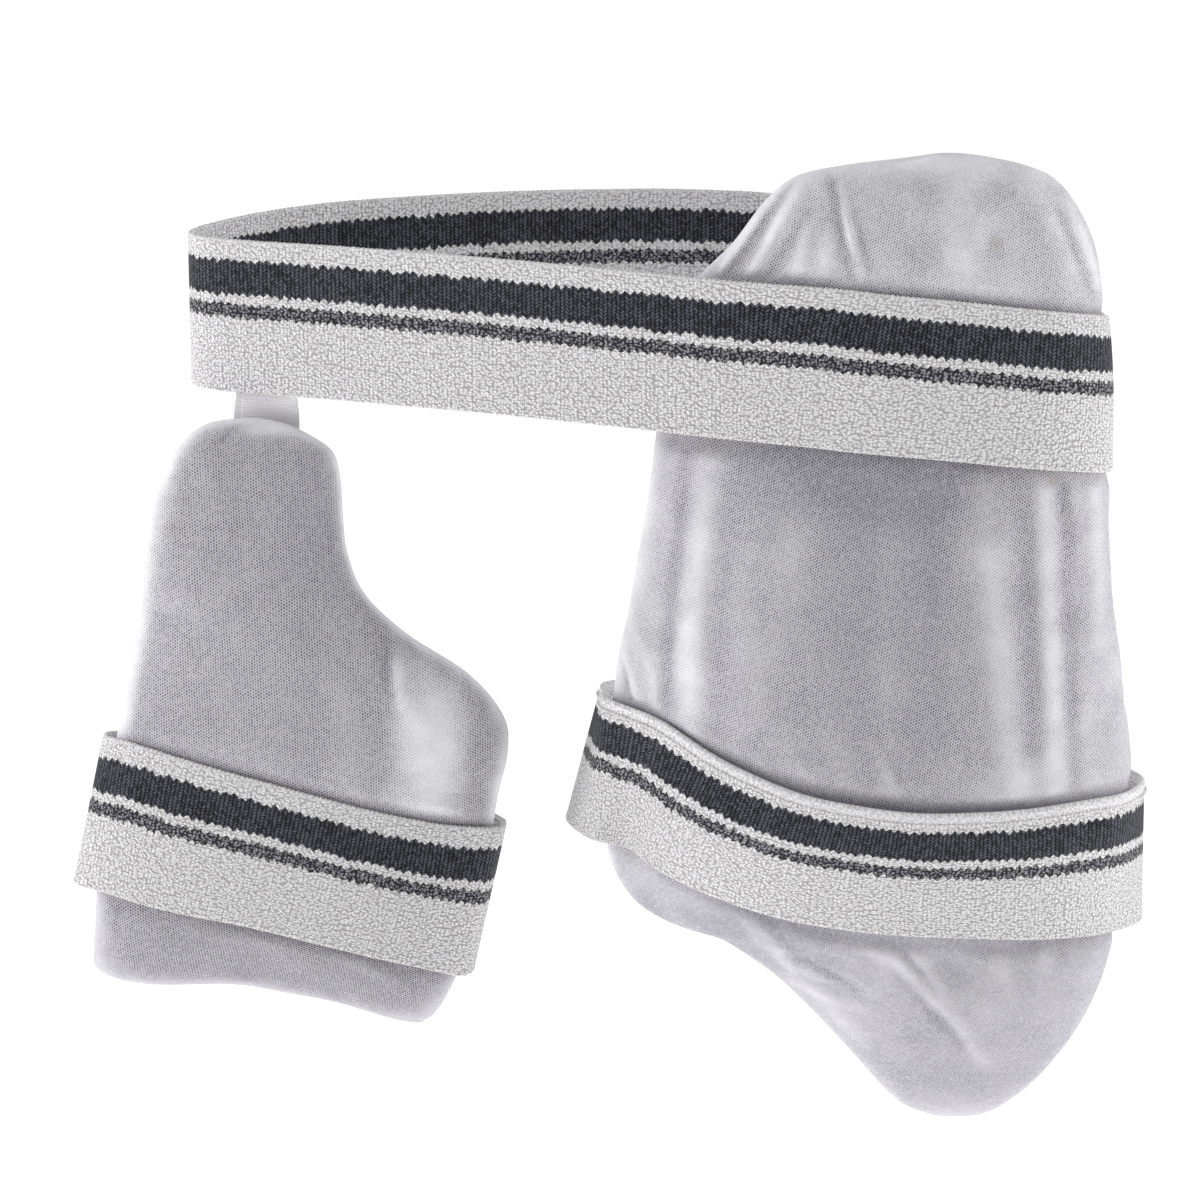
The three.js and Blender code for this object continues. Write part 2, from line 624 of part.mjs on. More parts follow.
// The inner pad and its strap hang askew from the tab
const innerGroup = new THREE.Group();
const innerTilt = THREE.MathUtils.degToRad(INNER_PAD.tilt);
const apexHung = innerApex.clone().applyAxisAngle(new THREE.Vector3(0, 1, 0), innerTilt);
const tabOnPad = 1 - TAB_LENGTH.onPad / INNER_PAD.height;
const padBack = innerPad.point(0, tabOnPad, -1).y;
innerGroup.rotation.y = innerTilt;
innerGroup.position.set(
  tabTop.x + TAB.aside - apexHung.x,
  tabLine - TAB.thickness / 2 - TAB_CLEARANCE.pad - padBack,
  beltFoot - TAB_LENGTH.shown - apexHung.z,
);
innerGroup.add(piece("inner_thigh_pad", skinOf(panelRings(innerPad, INNER_FACETS), false), MATERIALS.cover));
innerGroup.add(piece("inner_leg_strap", innerStrap, MATERIALS.elastic));
group.add(innerGroup);

export default group;
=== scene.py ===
# A cricket batter's two-piece thigh guard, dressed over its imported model: knitted pad covers,
# striped elastic, a woven tape and the loops of the overlocked rims.

import math

import bpy
import numpy as np
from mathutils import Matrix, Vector


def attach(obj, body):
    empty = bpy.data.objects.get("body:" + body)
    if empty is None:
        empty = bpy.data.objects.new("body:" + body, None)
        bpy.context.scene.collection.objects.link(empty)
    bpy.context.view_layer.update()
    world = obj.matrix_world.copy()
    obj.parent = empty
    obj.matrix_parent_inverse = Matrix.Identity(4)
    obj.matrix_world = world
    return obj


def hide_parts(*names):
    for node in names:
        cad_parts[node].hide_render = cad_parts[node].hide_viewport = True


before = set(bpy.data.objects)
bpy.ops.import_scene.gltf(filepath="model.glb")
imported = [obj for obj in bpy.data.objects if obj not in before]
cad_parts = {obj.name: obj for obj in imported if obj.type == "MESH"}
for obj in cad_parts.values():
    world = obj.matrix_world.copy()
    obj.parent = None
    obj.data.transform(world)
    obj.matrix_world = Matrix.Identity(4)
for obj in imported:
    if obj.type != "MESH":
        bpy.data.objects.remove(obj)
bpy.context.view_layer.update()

# Sizes are in millimetres, as in the part's source, and become metres in the meshes
MM = 0.001

# Driving sizes of the belt, the pads and the leg straps
WEBBING = {"width": 68, "thickness": 2.4}
WAIST_LOOP = {"length": 394, "depth": 176, "drawn": 0.935}
OUTER_PAD = {"width": 224, "height": 433, "thickness": 19, "depth": 52}
BELT_ON_OUTER_PAD = {"level": 0.79, "across": 0.06}
OUTER_LOOP = {"depth": 126, "drawn": 0.91}
INNER_PAD = {"width": 176, "height": 266, "thickness": 17, "depth": 12}
INNER_TILT = 12.5
INNER_LOOP = {"depth": 48, "drawn": 1}
FOOT_REACH = 0.24
FOOT_HOLLOW = {"depth": 0.0515, "from": 0.12, "spread": 0.38}
FOOT_LOBE = {"depth": 0.0207, "from": 0.66, "spread": 0.26}
WRAPPED_EDGE = 0.42

# Gaps between each band and the pad under it, and how far the bands press into the pads
BAND_CLEARANCE = {"belt": 0.45, "outer strap": 1.0, "inner strap": 0.45}
BELT_UPPER_RIM_STAND = 0.01
PRESS = {"depth": 2.2, "margin": 0.5, "shoulder": 9}

# The tape that the inner pad hangs by: its place on the belt, its stretches, its gaps to the
# belt and to the pad, and its two layers, of which the front one is narrower
TAB = {"along": -0.411, "aside": 4, "top": 30.5, "foot": 27.5, "thickness": 1.8}
TAB_LENGTH = {"shown": 11.5, "on_belt": 30, "on_pad": 26, "twist": 16}
TAB_CLEARANCE = {"belt": 1.1, "pad": 0.9}
TAB_LAYER = {"thickness": 0.64, "set_in": 3.4}

# The bands' rims: the rolled upper rim with the groove under it, the lower rim, and the yarn
ROLLED_RIM = {"spread": 1.9, "groove": 0.45, "groove_below": 3.6, "groove_spread": 1.1}
LOWER_RIM = {"thicker": 0.12, "spread": 1.6}
RIM_LOOPS_OUT = 0.75
BEADS = {"below_rim": 3.4, "out": 1.4}

# Stitches of yarn, by the names of the inputs of their node tree
RIM_LOOP = {
    "Pitch": 2.1 * MM,
    "Stitch Length": 2.3 * MM,
    "Stitch Width": 1.5 * MM,
    "Stitch Height": 2.5 * MM,
    "Unevenness": 0.22,
    "Lean": 0.35,
}
BEAD_STITCH = {
    "Pitch": 1.95 * MM,
    "Stitch Length": 1.7 * MM,
    "Stitch Width": 2.1 * MM,
    "Stitch Height": 2.3 * MM,
    "Unevenness": 0.2,
    "Lean": 0.3,
}

# The covers: how square the pads' sides and ends are, how folds taper and fade, and the waves
# of slack between them
SQUARENESS = {"sides": 4, "ends": 8}
FOLD = {"taper": 0.35, "past_end": 2.2}
WAVES = {"height": 0.3, "count": 9, "longest": 70, "shortest": 9}
FADING = {"rim": 1.5, "held": 1.15}

# How open the covers' knit is, and how deep its tone, the tone being painted light: on the backs,
# and the change towards a rim (painted highlight), on a fold's crest (painted highlight, with painted
# shade in a groove) and under a band (painted shadow)
BACK_LOOK = {"slack": 0.5, "tone": 0.45}
RIM_KNIT_AND_HIGHLIGHT = {"steepness": 1.7, "start": 0.25}
CREST_KNIT_AND_PAINTED_LIGHT = {"slack": 0.3, "tone": 0.22, "back_slack": 0.25, "back_tone": 0.2}
PRESSED_KNIT_AND_SHADOW = {"slack": 0.1, "tone": 0.15}

# Colours as they look on a screen: of the covers' knit, and of the elastic from deep to high
KNIT = {
    # drawn is a painted highlight of the knit, on rims, crests and lit lobes
    "drawn": (238, 237, 242),
    "slack": (204, 202, 208),
    # painted_shade is painted shade of the knit, down the pads' middles, in grooves and under the bands
    "painted_shade": (162, 160, 168),
    "cloudy": (178, 176, 184),
    "streak": (222, 221, 226),
    # valley is painted shade between the knit's ribs
    "valley": (126, 124, 132),
    "hole": (76, 74, 83),
}
# The white, dark and mottled pairs run from painted shade between the stitches to a painted highlight on
# their crowns; the mottled one's specks are partly its mixed yarn, and rolled is the rolled rim's grain
ELASTIC = {
    "white": ((170, 167, 168), (236, 235, 237)),
    "dark": ((10, 10, 14), (92, 93, 104)),
    "mottled": ((46, 46, 51), (158, 158, 163)),
    "rolled": ((186, 184, 186), (228, 227, 229)),
}
TAPE = ((206, 204, 208), (232, 230, 234))
RIM_YARN = (236, 235, 236)
FAINT_STAIN = (168, 146, 128)
SPECK = (70, 62, 66)

# The stripes of the elastic: where each colour starts, as a share of its width
STRIPES = {"mottled": 0.494, "white between": 0.583, "dark": 0.646, "white above": 0.876}

# Fineness of the meshes
OUTER_GRID = {"rows": 300, "columns": 300}
INNER_GRID = {"rows": 220, "columns": 240}
CROWDING = 0.4
LOOP_STEPS = {"waist": 900, "outer": 640, "inner": 480}
WEBBING_LEVELS = 25
RIM_POINTS = 5
TAPE_STEPS = {"along": 61, "round": 40}
STITCH_BALL = {"Segments": 8, "Rings": 5, "Radius": 0.5}
NEARBY = 0.02
PLAN_STEPS = 120

# The cloth simulation of the covers
SETTLING = {
    "every": 3,
    "frames": 20,
    "pressure": 0.25,
    "oversize": 0.007,
    "bending": 0.1,
    "held_from": 0.35,
    "most": 4.0,
}


def table(names, *rows):
    """Rows with named columns, each column an array."""
    return {name: np.array(column, float) for name, column in zip(names.split(), zip(*rows))}


# Outline of each pad: left and right edge as shares of its width, and how far it stands back
OUTER_OUTLINE = table(
    "up left right back",
    (0, 0.69, 0.69, 0.2),
    (0.006, 0.632, 0.745, 0.19),
    (0.018, 0.584, 0.775, 0.178),
    (0.03, 0.56, 0.797, 0.168),
    (0.069, 0.496, 0.855, 0.145),
    (0.113, 0.42, 0.905, 0.12),
    (0.155, 0.338, 0.938, 0.098),
    (0.182, 0.264, 0.954, 0.084),
    (0.198, 0.204, 0.962, 0.076),
    (0.208, 0.122, 0.966, 0.07),
    (0.222, 0.068, 0.972, 0.062),
    (0.24, 0.036, 0.979, 0.053),
    (0.265, 0.012, 0.986, 0.041),
    (0.295, 0, 0.992, 0.028),
    (0.34, 0, 0.994, 0.01),
    (0.471, 0.02, 0.964, 0),
    (0.553, 0.049, 0.938, 0),
    (0.674, 0.085, 0.92, 0),
    (0.773, 0.107, 0.913, 0),
    (0.863, 0.156, 0.893, 0.002),
    (0.912, 0.237, 0.875, 0.006),
    (0.956, 0.3, 0.835, 0.014),
    (0.977, 0.352, 0.799, 0.02),
    (0.987, 0.428, 0.759, 0.022),
    (0.996, 0.554, 0.692, 0.026),
    (1, 0.621, 0.621, 0.028),
)

INNER_OUTLINE = table(
    "up left right back",
    (0, 0.45, 0.45, 0),
    (0.006, 0.14, 0.88, 0),
    (0.015, 0.085, 0.93, 0),
    (0.04, 0.07, 0.955, 0),
    (0.08, 0.062, 0.972, 0),
    (0.13, 0.05, 0.985, 0),
    (0.29, 0.028, 1, 0),
    (0.45, 0.02, 0.985, 0),
    (0.53, 0.02, 0.985, 0),
    (0.59, 0.015, 0.955, 0),
    (0.65, 0.012, 0.845, 0),
    (0.695, 0.008, 0.68, 0),
    (0.745, 0.003, 0.56, 0),
    (0.806, 0, 0.495, 0),
    (0.87, 0.012, 0.462, 0),
    (0.936, 0.045, 0.434, 0),
    (0.972, 0.095, 0.402, 0),
    (0.99, 0.16, 0.34, 0),
    (1, 0.25, 0.25, 0),
)

# How each pad turns round the thigh, in degrees, from its left edge, -1, to its right edge, 1
OUTER_BEND = table(
    "across turn",
    (-1, -58),
    (-0.6, -34),
    (-0.2, -12),
    (0.12, 0),
    (0.42, 12),
    (0.64, 38),
    (0.82, 74),
    (1, 102),
)
INNER_BEND = table("across turn", (-1, -22), (-0.3, -6), (0.2, 2), (1, 24))

# Folds and ridges of the covers in the cloth's own millimetres: from one end to the other end,
# half width, and height, below zero for a groove
OUTER_FOLDS = table(
    "run height to_run to_height spread rise",
    # Gathered to the left of the top, above the belt
    (49, 413, 28, 376, 2.2, 1.6),
    (60, 419, 35, 380, 1.9, -1.7),
    (64, 417, 43, 378, 2.2, 1.5),
    (68, 407, 50, 376, 2.4, -1.2),
    (69, 403, 63, 376, 2.8, 1),
    (76, 426, 80, 417, 1.8, -0.8),
    (80, 417, 82, 403, 1.8, -1),
    (82, 403, 88, 381, 1.9, -0.9),
    (82, 416, 86, 400, 2.2, 1.2),
    (86, 400, 90, 385, 2.4, 1.1),
    (87, 408, 92, 388, 2, -0.7),
    (77, 399, 75, 381, 3, 0.6),
    (107, 430, 109, 408, 4, 0.4),
    # The right of the top
    (131, 420, 130, 377, 9, 0.8),
    (158, 417, 172, 392, 5, 0.6),
    (168, 407, 181, 377, 2, -0.9),
    (171, 411, 184, 380, 2.6, 1.2),
    # Long upright ridges and grooves between the belt and the leg strap
    (19, 311, 11, 226, 3, -1),
    (11, 226, 9, 191, 3, -1),
    (30, 310, 21, 226, 6, 0.8),
    (21, 226, 21, 184, 6, 0.8),
    (42, 306, 34, 228, 6, -0.6),
    (34, 228, 34, 184, 6, -0.6),
    (66, 281, 63, 232, 8, 0.4),
    (101, 300, 105, 162, 6, 0.6),
    (119, 304, 123, 206, 7, -0.8),
    (137, 301, 156, 163, 6.5, 1),
    (155, 301, 162, 188, 4.5, -1.1),
    (163, 300, 172, 162, 4.5, 0.9),
    (172, 302, 176, 238, 3, -1),
    (176, 238, 181, 164, 3, -1),
    (185, 295, 189, 229, 4, 0.6),
    (170, 303, 172, 285, 1.6, -1.5),
    # Short ones above the leg strap
    (98, 186, 108, 167, 2.5, 0.7),
    (102, 186, 111, 165, 2.2, -0.6),
    (64, 181, 76, 166, 4, 0.5),
    (79, 207, 89, 170, 6, 0.4),
    (-14, 207, -9, 195, 2, -1),
    (-11, 212, -3, 193, 2.2, 0.9),
    (1, 212, 11, 182, 3, 0.5),
    # The slack foot below the leg strap
    (102, 96, 126, 66, 3, 1.5),
    (106, 98, 133, 64, 2.5, -1),
    (118, 89, 147, 39, 3.5, 1.2),
    (114, 79, 139, 45, 3, -0.8),
    (66, 79, 83, 73, 3, 1),
    (70, 68, 93, 62, 3.5, 1),
    (59, 94, 66, 79, 3, 0.8),
    (75, 82, 93, 71, 2.5, -1),
    (84, 60, 98, 44, 4, 0.8),
    (46, 105, 59, 87, 4, 0.7),
    (51, 110, 69, 84, 3, -0.7),
    (94, 99, 106, 83, 3, 0.8),
    (150, 92, 158, 73, 4, 0.5),
    (7, 111, 14, 96, 5, 0.4),
    (170, 95, 172, 83, 2, 0.6),
    (180, 95, 179, 84, 2, -0.5),
)
INNER_FOLDS = table(
    "run height to_run to_height spread rise",
    # Under the tape
    (29, 260, 23, 252, 1.8, -1.1),
    (32, 260, 44, 262, 3, 0.8),
    # From the inward corner
    (93, 205, 108, 191, 2.5, 0.7),
    (92, 206, 107, 192, 1.8, -0.7),
    (110, 182, 115, 163, 2, -1.5),
    (114, 181, 121, 161, 3.5, 1.3),
    (113, 163, 119, 127, 6, -0.6),
    # Soft waves of the front, the right lobe and the left rim
    (84, 172, 88, 120, 8, -0.5),
    (90, 177, 105, 124, 8, 0.5),
    (129, 177, 147, 117, 13, 1.3),
    (156, 159, 164, 115, 5, -0.6),
    (8, 211, 39, 221, 2, -0.3),
    (5, 212, 15, 120, 5, -0.5),
    # The foot
    (20, 40, 21, 28, 3, -0.8),
    (122, 35, 142, 24, 5, 0.7),
    (143, 34, 156, 26, 3, -0.5),
)

# Slack creases of the faces that lie against the thigh
BACK_FOLDS = table(
    "run height to_run to_height spread rise",
    (40, 330, 62, 240, 7, 0.7),
    (70, 350, 84, 250, 5, -0.6),
    (98, 345, 104, 225, 7, 0.8),
    (128, 340, 122, 245, 5, -0.6),
    (150, 330, 146, 230, 6, 0.7),
    (30, 205, 60, 185, 6, 0.6),
    (90, 200, 130, 190, 6, -0.6),
    (60, 160, 84, 110, 5, 0.6),
    (100, 150, 118, 80, 6, -0.6),
    (130, 140, 140, 70, 6, 0.7),
    (20, 130, 40, 110, 5, -0.5),
)

# The waist belt: where it crosses the outer pad, then behind it and round the back, then its
# front stretch. rise: height of its middle as a share of the webbing's width
BELT_ON_PAD = table(
    "across rise",
    (-0.3, -0.115),
    (-0.12, -0.143),
    (0.06, -0.167),
    (0.24, -0.196),
    (0.42, -0.232),
    (0.58, -0.265),
    (0.72, -0.298),
    (0.83, -0.325),
    (0.92, -0.335),
)
BELT_BACK = table(
    "along away rise",
    (0.487, -0.12, -0.335),
    (0.475, 0.08, -0.3),
    (0.435, 0.3, -0.15),
    (0.36, 0.41, -0.02),
    (0.265, 0.465, 0.09),
    (0.16, 0.487, 0.17),
    (0.05, 0.493, 0.2),
    (-0.06, 0.487, 0.2),
    (-0.165, 0.465, 0.19),
    (-0.265, 0.427, 0.17),
    (-0.35, 0.368, 0.15),
    (-0.42, 0.28, 0.12),
    (-0.47, 0.165, 0.09),
)
BELT_FRONT = table(
    "along away rise",
    (-0.495, 0.045, 0.07),
    (-0.478, -0.04, 0.058),
    (-0.415, -0.108, 0.05),
    (-0.333, -0.17, 0.042),
    (-0.25, -0.229, 0.026),
    (-0.165, -0.287, 0.008),
    (-0.08, -0.341, -0.018),
    (0.005, -0.392, -0.047),
    (0.085, -0.435, -0.08),
)

# Each leg strap: on its pad, then round behind it, on from the pad's right side. low, high:
# how far its rims are drawn in, as shares of its half width
OUTER_STRAP_ON_PAD = table(
    "across up stand low high",
    (-0.78, 0.366, 0.015, 1, 1),
    (-0.63, 0.347, 0.015, 1, 0.96),
    (-0.48, 0.33, 0.02, 1, 0.93),
    (-0.3, 0.311, 0.025, 0.96, 0.92),
    (-0.12, 0.298, 0.035, 0.9, 0.95),
    (0.06, 0.289, 0.04, 0.84, 0.98),
    (0.24, 0.287, 0.035, 0.85, 1),
    (0.42, 0.289, 0.025, 0.93, 1),
    (0.58, 0.293, 0.02, 1.02, 1),
    (0.72, 0.292, 0.015, 1.05, 1),
)
OUTER_STRAP_FREE = table(
    "along away up tip",
    (1.044, 0.44, 0.283, -0.01),
    (1.041, 0.62, 0.279, 0),
    (0.975, 0.79, 0.279, 0),
    (0.86, 0.9, 0.284, 0),
    (0.74, 0.97, 0.294, 0),
    (0.61, 1, 0.306, 0.02),
    (0.48, 1, 0.32, 0.05),
    (0.35, 0.98, 0.333, 0.09),
    (0.22, 0.94, 0.345, 0.14),
    (0.1, 0.88, 0.356, 0.19),
    (0.015, 0.8, 0.364, 0.23),
    (-0.039, 0.69, 0.37, 0.26),
    (-0.034, 0.53, 0.373, 0.22),
    (-0.012, 0.385, 0.374, 0.08),
)
INNER_STRAP_ON_PAD = table(
    "across up stand low high",
    (-0.9, 0.286, 0, 1, 1),
    (-0.68, 0.285, 0, 1, 1),
    (-0.44, 0.282, 0, 1, 1),
    (-0.2, 0.279, 0, 1, 1),
    (0.04, 0.275, 0, 1, 1),
    (0.28, 0.27, 0, 1, 1),
    (0.52, 0.267, 0, 1, 1),
    (0.74, 0.266, 0, 1, 1),
)
INNER_STRAP_FREE = table(
    "along away up tip",
    (0.985, 0.28, 0.27, 0),
    (1.014, 0.45, 0.27, 0),
    (1.008, 0.68, 0.27, 0),
    (0.93, 0.87, 0.27, 0),
    (0.81, 0.96, 0.27, 0),
    (0.66, 1, 0.27, 0),
    (0.5, 1, 0.27, 0),
    (0.34, 1, 0.27, 0),
    (0.19, 0.96, 0.27, 0),
    (0.07, 0.87, 0.272, 0),
    (0, 0.68, 0.275, 0),
    (-0.003, 0.45, 0.278, 0),
)


def smooth(share):
    t = np.clip(share, 0, 1)
    return t * t * (3 - 2 * t)


def read(rows, key, column, place, spacing=lambda value: value):
    """A column of a table at any place, as a smooth curve through its rows."""
    keys = spacing(rows[key])
    values = rows[column]
    place = spacing(np.asarray(place, float))
    before = np.maximum(np.arange(len(keys)) - 1, 0)
    after = np.minimum(np.arange(len(keys)) + 1, len(keys) - 1)
    slopes = (values[after] - values[before]) / (keys[after] - keys[before])
    row = np.clip(np.searchsorted(keys, place) - 1, 0, len(keys) - 2)
    gap = keys[row + 1] - keys[row]
    t = np.clip((place - keys[row]) / gap, 0, 1)
    start = 2 * t**3 - 3 * t**2 + 1
    bow_out = t**3 - 2 * t**2 + t
    bow_in = t**3 - t**2
    middle = start * values[row] + (1 - start) * values[row + 1]
    return middle + gap * (bow_out * slopes[row] + bow_in * slopes[row + 1])


def round_ends(up):
    """Spaces heights as a round end does, so that an outline closes in a smooth curve."""
    return np.arccos(1 - 2 * np.clip(up, 0, 1))


def plan_of(bend):
    """A bent pad from above: places x and y for each place across, with its width as 1."""
    across = np.linspace(-1, 1, PLAN_STEPS + 1)
    turn = np.radians(read(bend, "across", "turn", across[1:] - 1 / PLAN_STEPS))
    x = np.concatenate([[0], np.cumsum(np.cos(turn))])
    y = np.concatenate([[0], np.cumsum(np.sin(turn))])
    front = y.min()
    back = max(y[0], y[-1]) - front
    return {"across": across, "x": x / x.max(), "y": (y - front) / back}


class Panel:
    """A padded panel. point() gives a place on its outer face, 1, or its inner face, -1."""

    def __init__(self, size, outline, bend, corner, foot_lift=None, pressed_by=(), taped=0):
        self.size = size
        self.outline = outline
        self.plan = plan_of(bend)
        self.corner = np.array(corner, float)
        self.foot_lift = foot_lift
        self.pressed_by = pressed_by
        self.taped = taped

    def middle(self, across, up):
        left = read(self.outline, "up", "left", up, round_ends)
        right = read(self.outline, "up", "right", up, round_ends)
        back = read(self.outline, "up", "back", up, round_ends)
        span = np.maximum(right - left, 0)
        plan_x = np.interp(across, self.plan["across"], self.plan["x"])
        plan_y = np.interp(across, self.plan["across"], self.plan["y"])
        share = left + span * plan_x
        x = self.size["width"] * share
        y = self.size["width"] * back + self.size["depth"] * span**2 * plan_y
        z = self.size["height"] * up + np.zeros_like(x)
        if self.foot_lift:
            z = z + self.foot_lift(share, up)
        return self.corner + np.stack([x, y, z], -1)

    def outward(self, across, up):
        before = self.middle(np.maximum(across - NEARBY, -1), up)
        after = self.middle(np.minimum(across + NEARBY, 1), up)
        along = after - before
        out = np.stack([along[..., 1], -along[..., 0], np.zeros_like(along[..., 0])], -1)
        return out / np.maximum(np.linalg.norm(out, axis=-1, keepdims=True), 1e-9)

    def pressed(self, across, up):
        depth = np.zeros(np.broadcast(across, up).shape)
        for band in self.pressed_by:
            off = np.abs(self.size["height"] * (up - band["level"](across)))
            off = off - band["width"] / 2 - PRESS["margin"]
            depth += PRESS["depth"] * (1 - smooth(off / PRESS["shoulder"]))
        return depth

    def full(self, across, up):
        """How much of its thickness the pad has at a place, from 0 at its edge to 1."""
        sides = np.sqrt(np.maximum(1 - across ** SQUARENESS["sides"], 0))
        ends = np.sqrt(np.maximum(1 - (2 * up - 1) ** SQUARENESS["ends"], 0))
        return sides * ends

    def point(self, across, up, face, distance=0.0):
        across = np.clip(np.asarray(across, float), -1, 1)
        up = np.asarray(up, float)
        full = self.full(across, up)
        pressed = np.where(face > 0, self.pressed(across, up) * full, 0)
        reach = face * full * self.size["thickness"] / 2 - pressed + distance
        return self.middle(across, up) + self.outward(across, up) * reach[..., None]

    def cloth(self, across, up):
        """Places in the cloth: along each row, level with x at the pad's middle, and up the
        pad. across holds one row of places, up one height for each row."""
        middles = self.middle(*np.meshgrid(across, up))
        order = np.argsort(across)
        steps = np.linalg.norm(np.diff(middles[:, order, :2], axis=1), axis=-1)
        run = np.concatenate([np.zeros((len(up), 1)), np.cumsum(steps, axis=1)], axis=1)
        centre = np.array([np.interp(0, across[order], row) for row in run])
        start = self.middle(np.zeros(len(up)), up)[:, 0]
        along = np.empty(run.shape)
        along[:, order] = run - centre[:, None] + start[:, None]
        height = np.broadcast_to(self.size["height"] * up[:, None], run.shape)
        return along, height


def ridges(folds, along, height):
    """How high the folds of a table stand at places in the cloth."""
    rise = np.zeros(along.shape)
    for x, y, to_x, to_y, spread, high in zip(*(folds[key] for key in folds)):
        run = np.array([to_x - x, to_y - y])
        length = np.hypot(*run)
        run = run / length
        on = (along - x) * run[0] + (height - y) * run[1]
        off = (along - x) * run[1] - (height - y) * run[0]
        past = np.maximum(np.maximum(-on, on - length), 0)
        taper = 1 - FOLD["taper"] * smooth(np.abs(2 * on / length - 1))
        faded = (past / (FOLD["past_end"] * spread)) ** 2
        rise += high * taper * np.exp(-((off / spread) ** 2) - faded)
    return rise


def ripples(along, height, seed):
    """Gentle unevenness of slack cloth, as a sum of seeded waves."""
    chance = np.random.default_rng(seed)
    total = np.zeros(along.shape)
    count, longest, shortest = WAVES["count"], WAVES["longest"], WAVES["shortest"]
    for wave in range(count):
        length = longest * (shortest / longest) ** (wave / (count - 1))
        angle, phase = chance.uniform(0, math.pi), chance.uniform(0, 2 * math.pi)
        place = along * math.cos(angle) + height * math.sin(angle)
        total += (length / longest) * np.sin(2 * math.pi * place / length + phase)
    return total / math.sqrt(count)


def skin(name, rings, pattern, closed):
    """A mesh over rings of points; pattern holds the cloth coordinates, with one ring more
    than the points where the run is closed."""
    count = rings.shape[1]
    rows = rings.shape[0] if closed else rings.shape[0] - 1
    row, column = np.meshgrid(np.arange(rows), np.arange(count), indexing="ij")
    after = (column + 1) % count
    above = (row + 1) % rings.shape[0]
    corners = ((row, column), (row, after), (above, after), (above, column))
    quads = np.stack([r * count + c for r, c in corners], -1).reshape(-1, 4)
    laid = ((row, column), (row, after), (row + 1, after), (row + 1, column))
    cloth = np.stack([pattern[r, c] for r, c in laid], -2).reshape(-1, 2)
    faces = quads.tolist()
    if not closed:
        last = (rings.shape[0] - 1) * count
        faces.append(list(range(count))[::-1])
        faces.append(list(range(last, last + count)))
        cloth = np.concatenate([cloth, pattern[0, ::-1], pattern[-1]])
    mesh = bpy.data.meshes.new(name)
    mesh.from_pydata((rings.reshape(-1, 3) * MM).tolist(), [], faces)
    mesh.uv_layers.new(name="cloth").data.foreach_set("uv", (cloth * MM).ravel())
    mesh.shade_smooth()
    mesh.update()
    piece = bpy.data.objects.new(name, mesh)
    bpy.context.scene.collection.objects.link(piece)
    return piece


def spread_out(values, rows, columns, shape):
    """Values of a coarse grid, whose columns run round, on every row and column of a fine one."""
    every_row, every_column = np.arange(shape[0]), np.arange(shape[1])
    tall = np.stack([np.interp(every_row, rows, column) for column in values.T], 1)
    joined = np.concatenate([tall, tall[:, :1]], 1)
    places = np.append(columns, shape[1])
    wide = np.stack([np.interp(every_column, places, row) for row in joined])
    for _ in range(2):
        padded = np.concatenate([wide[:1], wide, wide[-1:]])
        wide = (padded[:-2] + 2 * wide + padded[2:]) / 4
        wide = (np.roll(wide, 1, 1) + 2 * wide + np.roll(wide, -1, 1)) / 4
    return wide


def settle(panel, across, up, face, held):
    """How far a cover moves outward when its cloth, cut a little large, settles over its padding:
    a cloth simulation on every few rows of the skin, held at both ends, under the bands and
    where the tape is sewn on. The movement eases off towards the most that is allowed."""
    rows = np.unique(np.append(np.arange(0, across.shape[0], SETTLING["every"]), across.shape[0] - 1))
    columns = np.arange(0, across.shape[1], SETTLING["every"])
    across_few, up_few, face_few = (values[np.ix_(rows, columns)] for values in (across, up, face))
    start = panel.point(across_few, up_few, face_few)
    sheet = skin("settling cloth", start, np.zeros((len(rows), len(columns), 2)), False)
    ends = np.zeros(start.shape[:2], bool)
    ends[:2] = ends[-2:] = True
    fixed = np.flatnonzero(ends | (held[np.ix_(rows, columns)] > SETTLING["held_from"]))
    sheet.vertex_groups.new(name="held").add(fixed.tolist(), 1.0, "REPLACE")
    cloth = sheet.modifiers.new("cloth", "CLOTH")
    cloth.settings.vertex_group_mass = "held"
    cloth.settings.effector_weights.gravity = 0
    cloth.settings.use_pressure = True
    cloth.settings.uniform_pressure_force = SETTLING["pressure"]
    cloth.settings.shrink_min = -SETTLING["oversize"]
    cloth.settings.bending_stiffness = SETTLING["bending"]
    cloth.collision_settings.use_collision = False
    for frame_number in range(1, SETTLING["frames"] + 1):
        bpy.context.scene.frame_set(frame_number)
    evaluated = sheet.evaluated_get(bpy.context.evaluated_depsgraph_get())
    moved = np.empty(start.size)
    evaluated.data.vertices.foreach_get("co", moved)
    bpy.context.scene.frame_set(1)
    bpy.data.objects.remove(sheet)
    away = (moved.reshape(start.shape) / MM - start) * panel.outward(across_few, up_few)
    shift = SETTLING["most"] * np.tanh(away.sum(-1) * face_few / SETTLING["most"])
    return spread_out(shift, rows, columns, across.shape)


def round_the_rims(rings, along):
    """Cloth places along each ring, counted over its surface: across the front, and back the
    same way behind it, so that the knit keeps its size over the rims."""
    half = rings.shape[1] // 2
    middle = half // 2
    steps = np.linalg.norm(np.roll(rings, -1, axis=1) - rings, axis=-1)
    run = np.concatenate([np.zeros((len(rings), 1)), np.cumsum(steps, axis=1)], axis=1)
    front, whole = run[:, half, None], run[:, -1, None]
    behind = front * (whole - run) / (whole - front)
    places = np.where(np.arange(run.shape[1]) <= half, run, behind)[:, :-1]
    return places - places[:, middle, None] + along[:, middle, None]


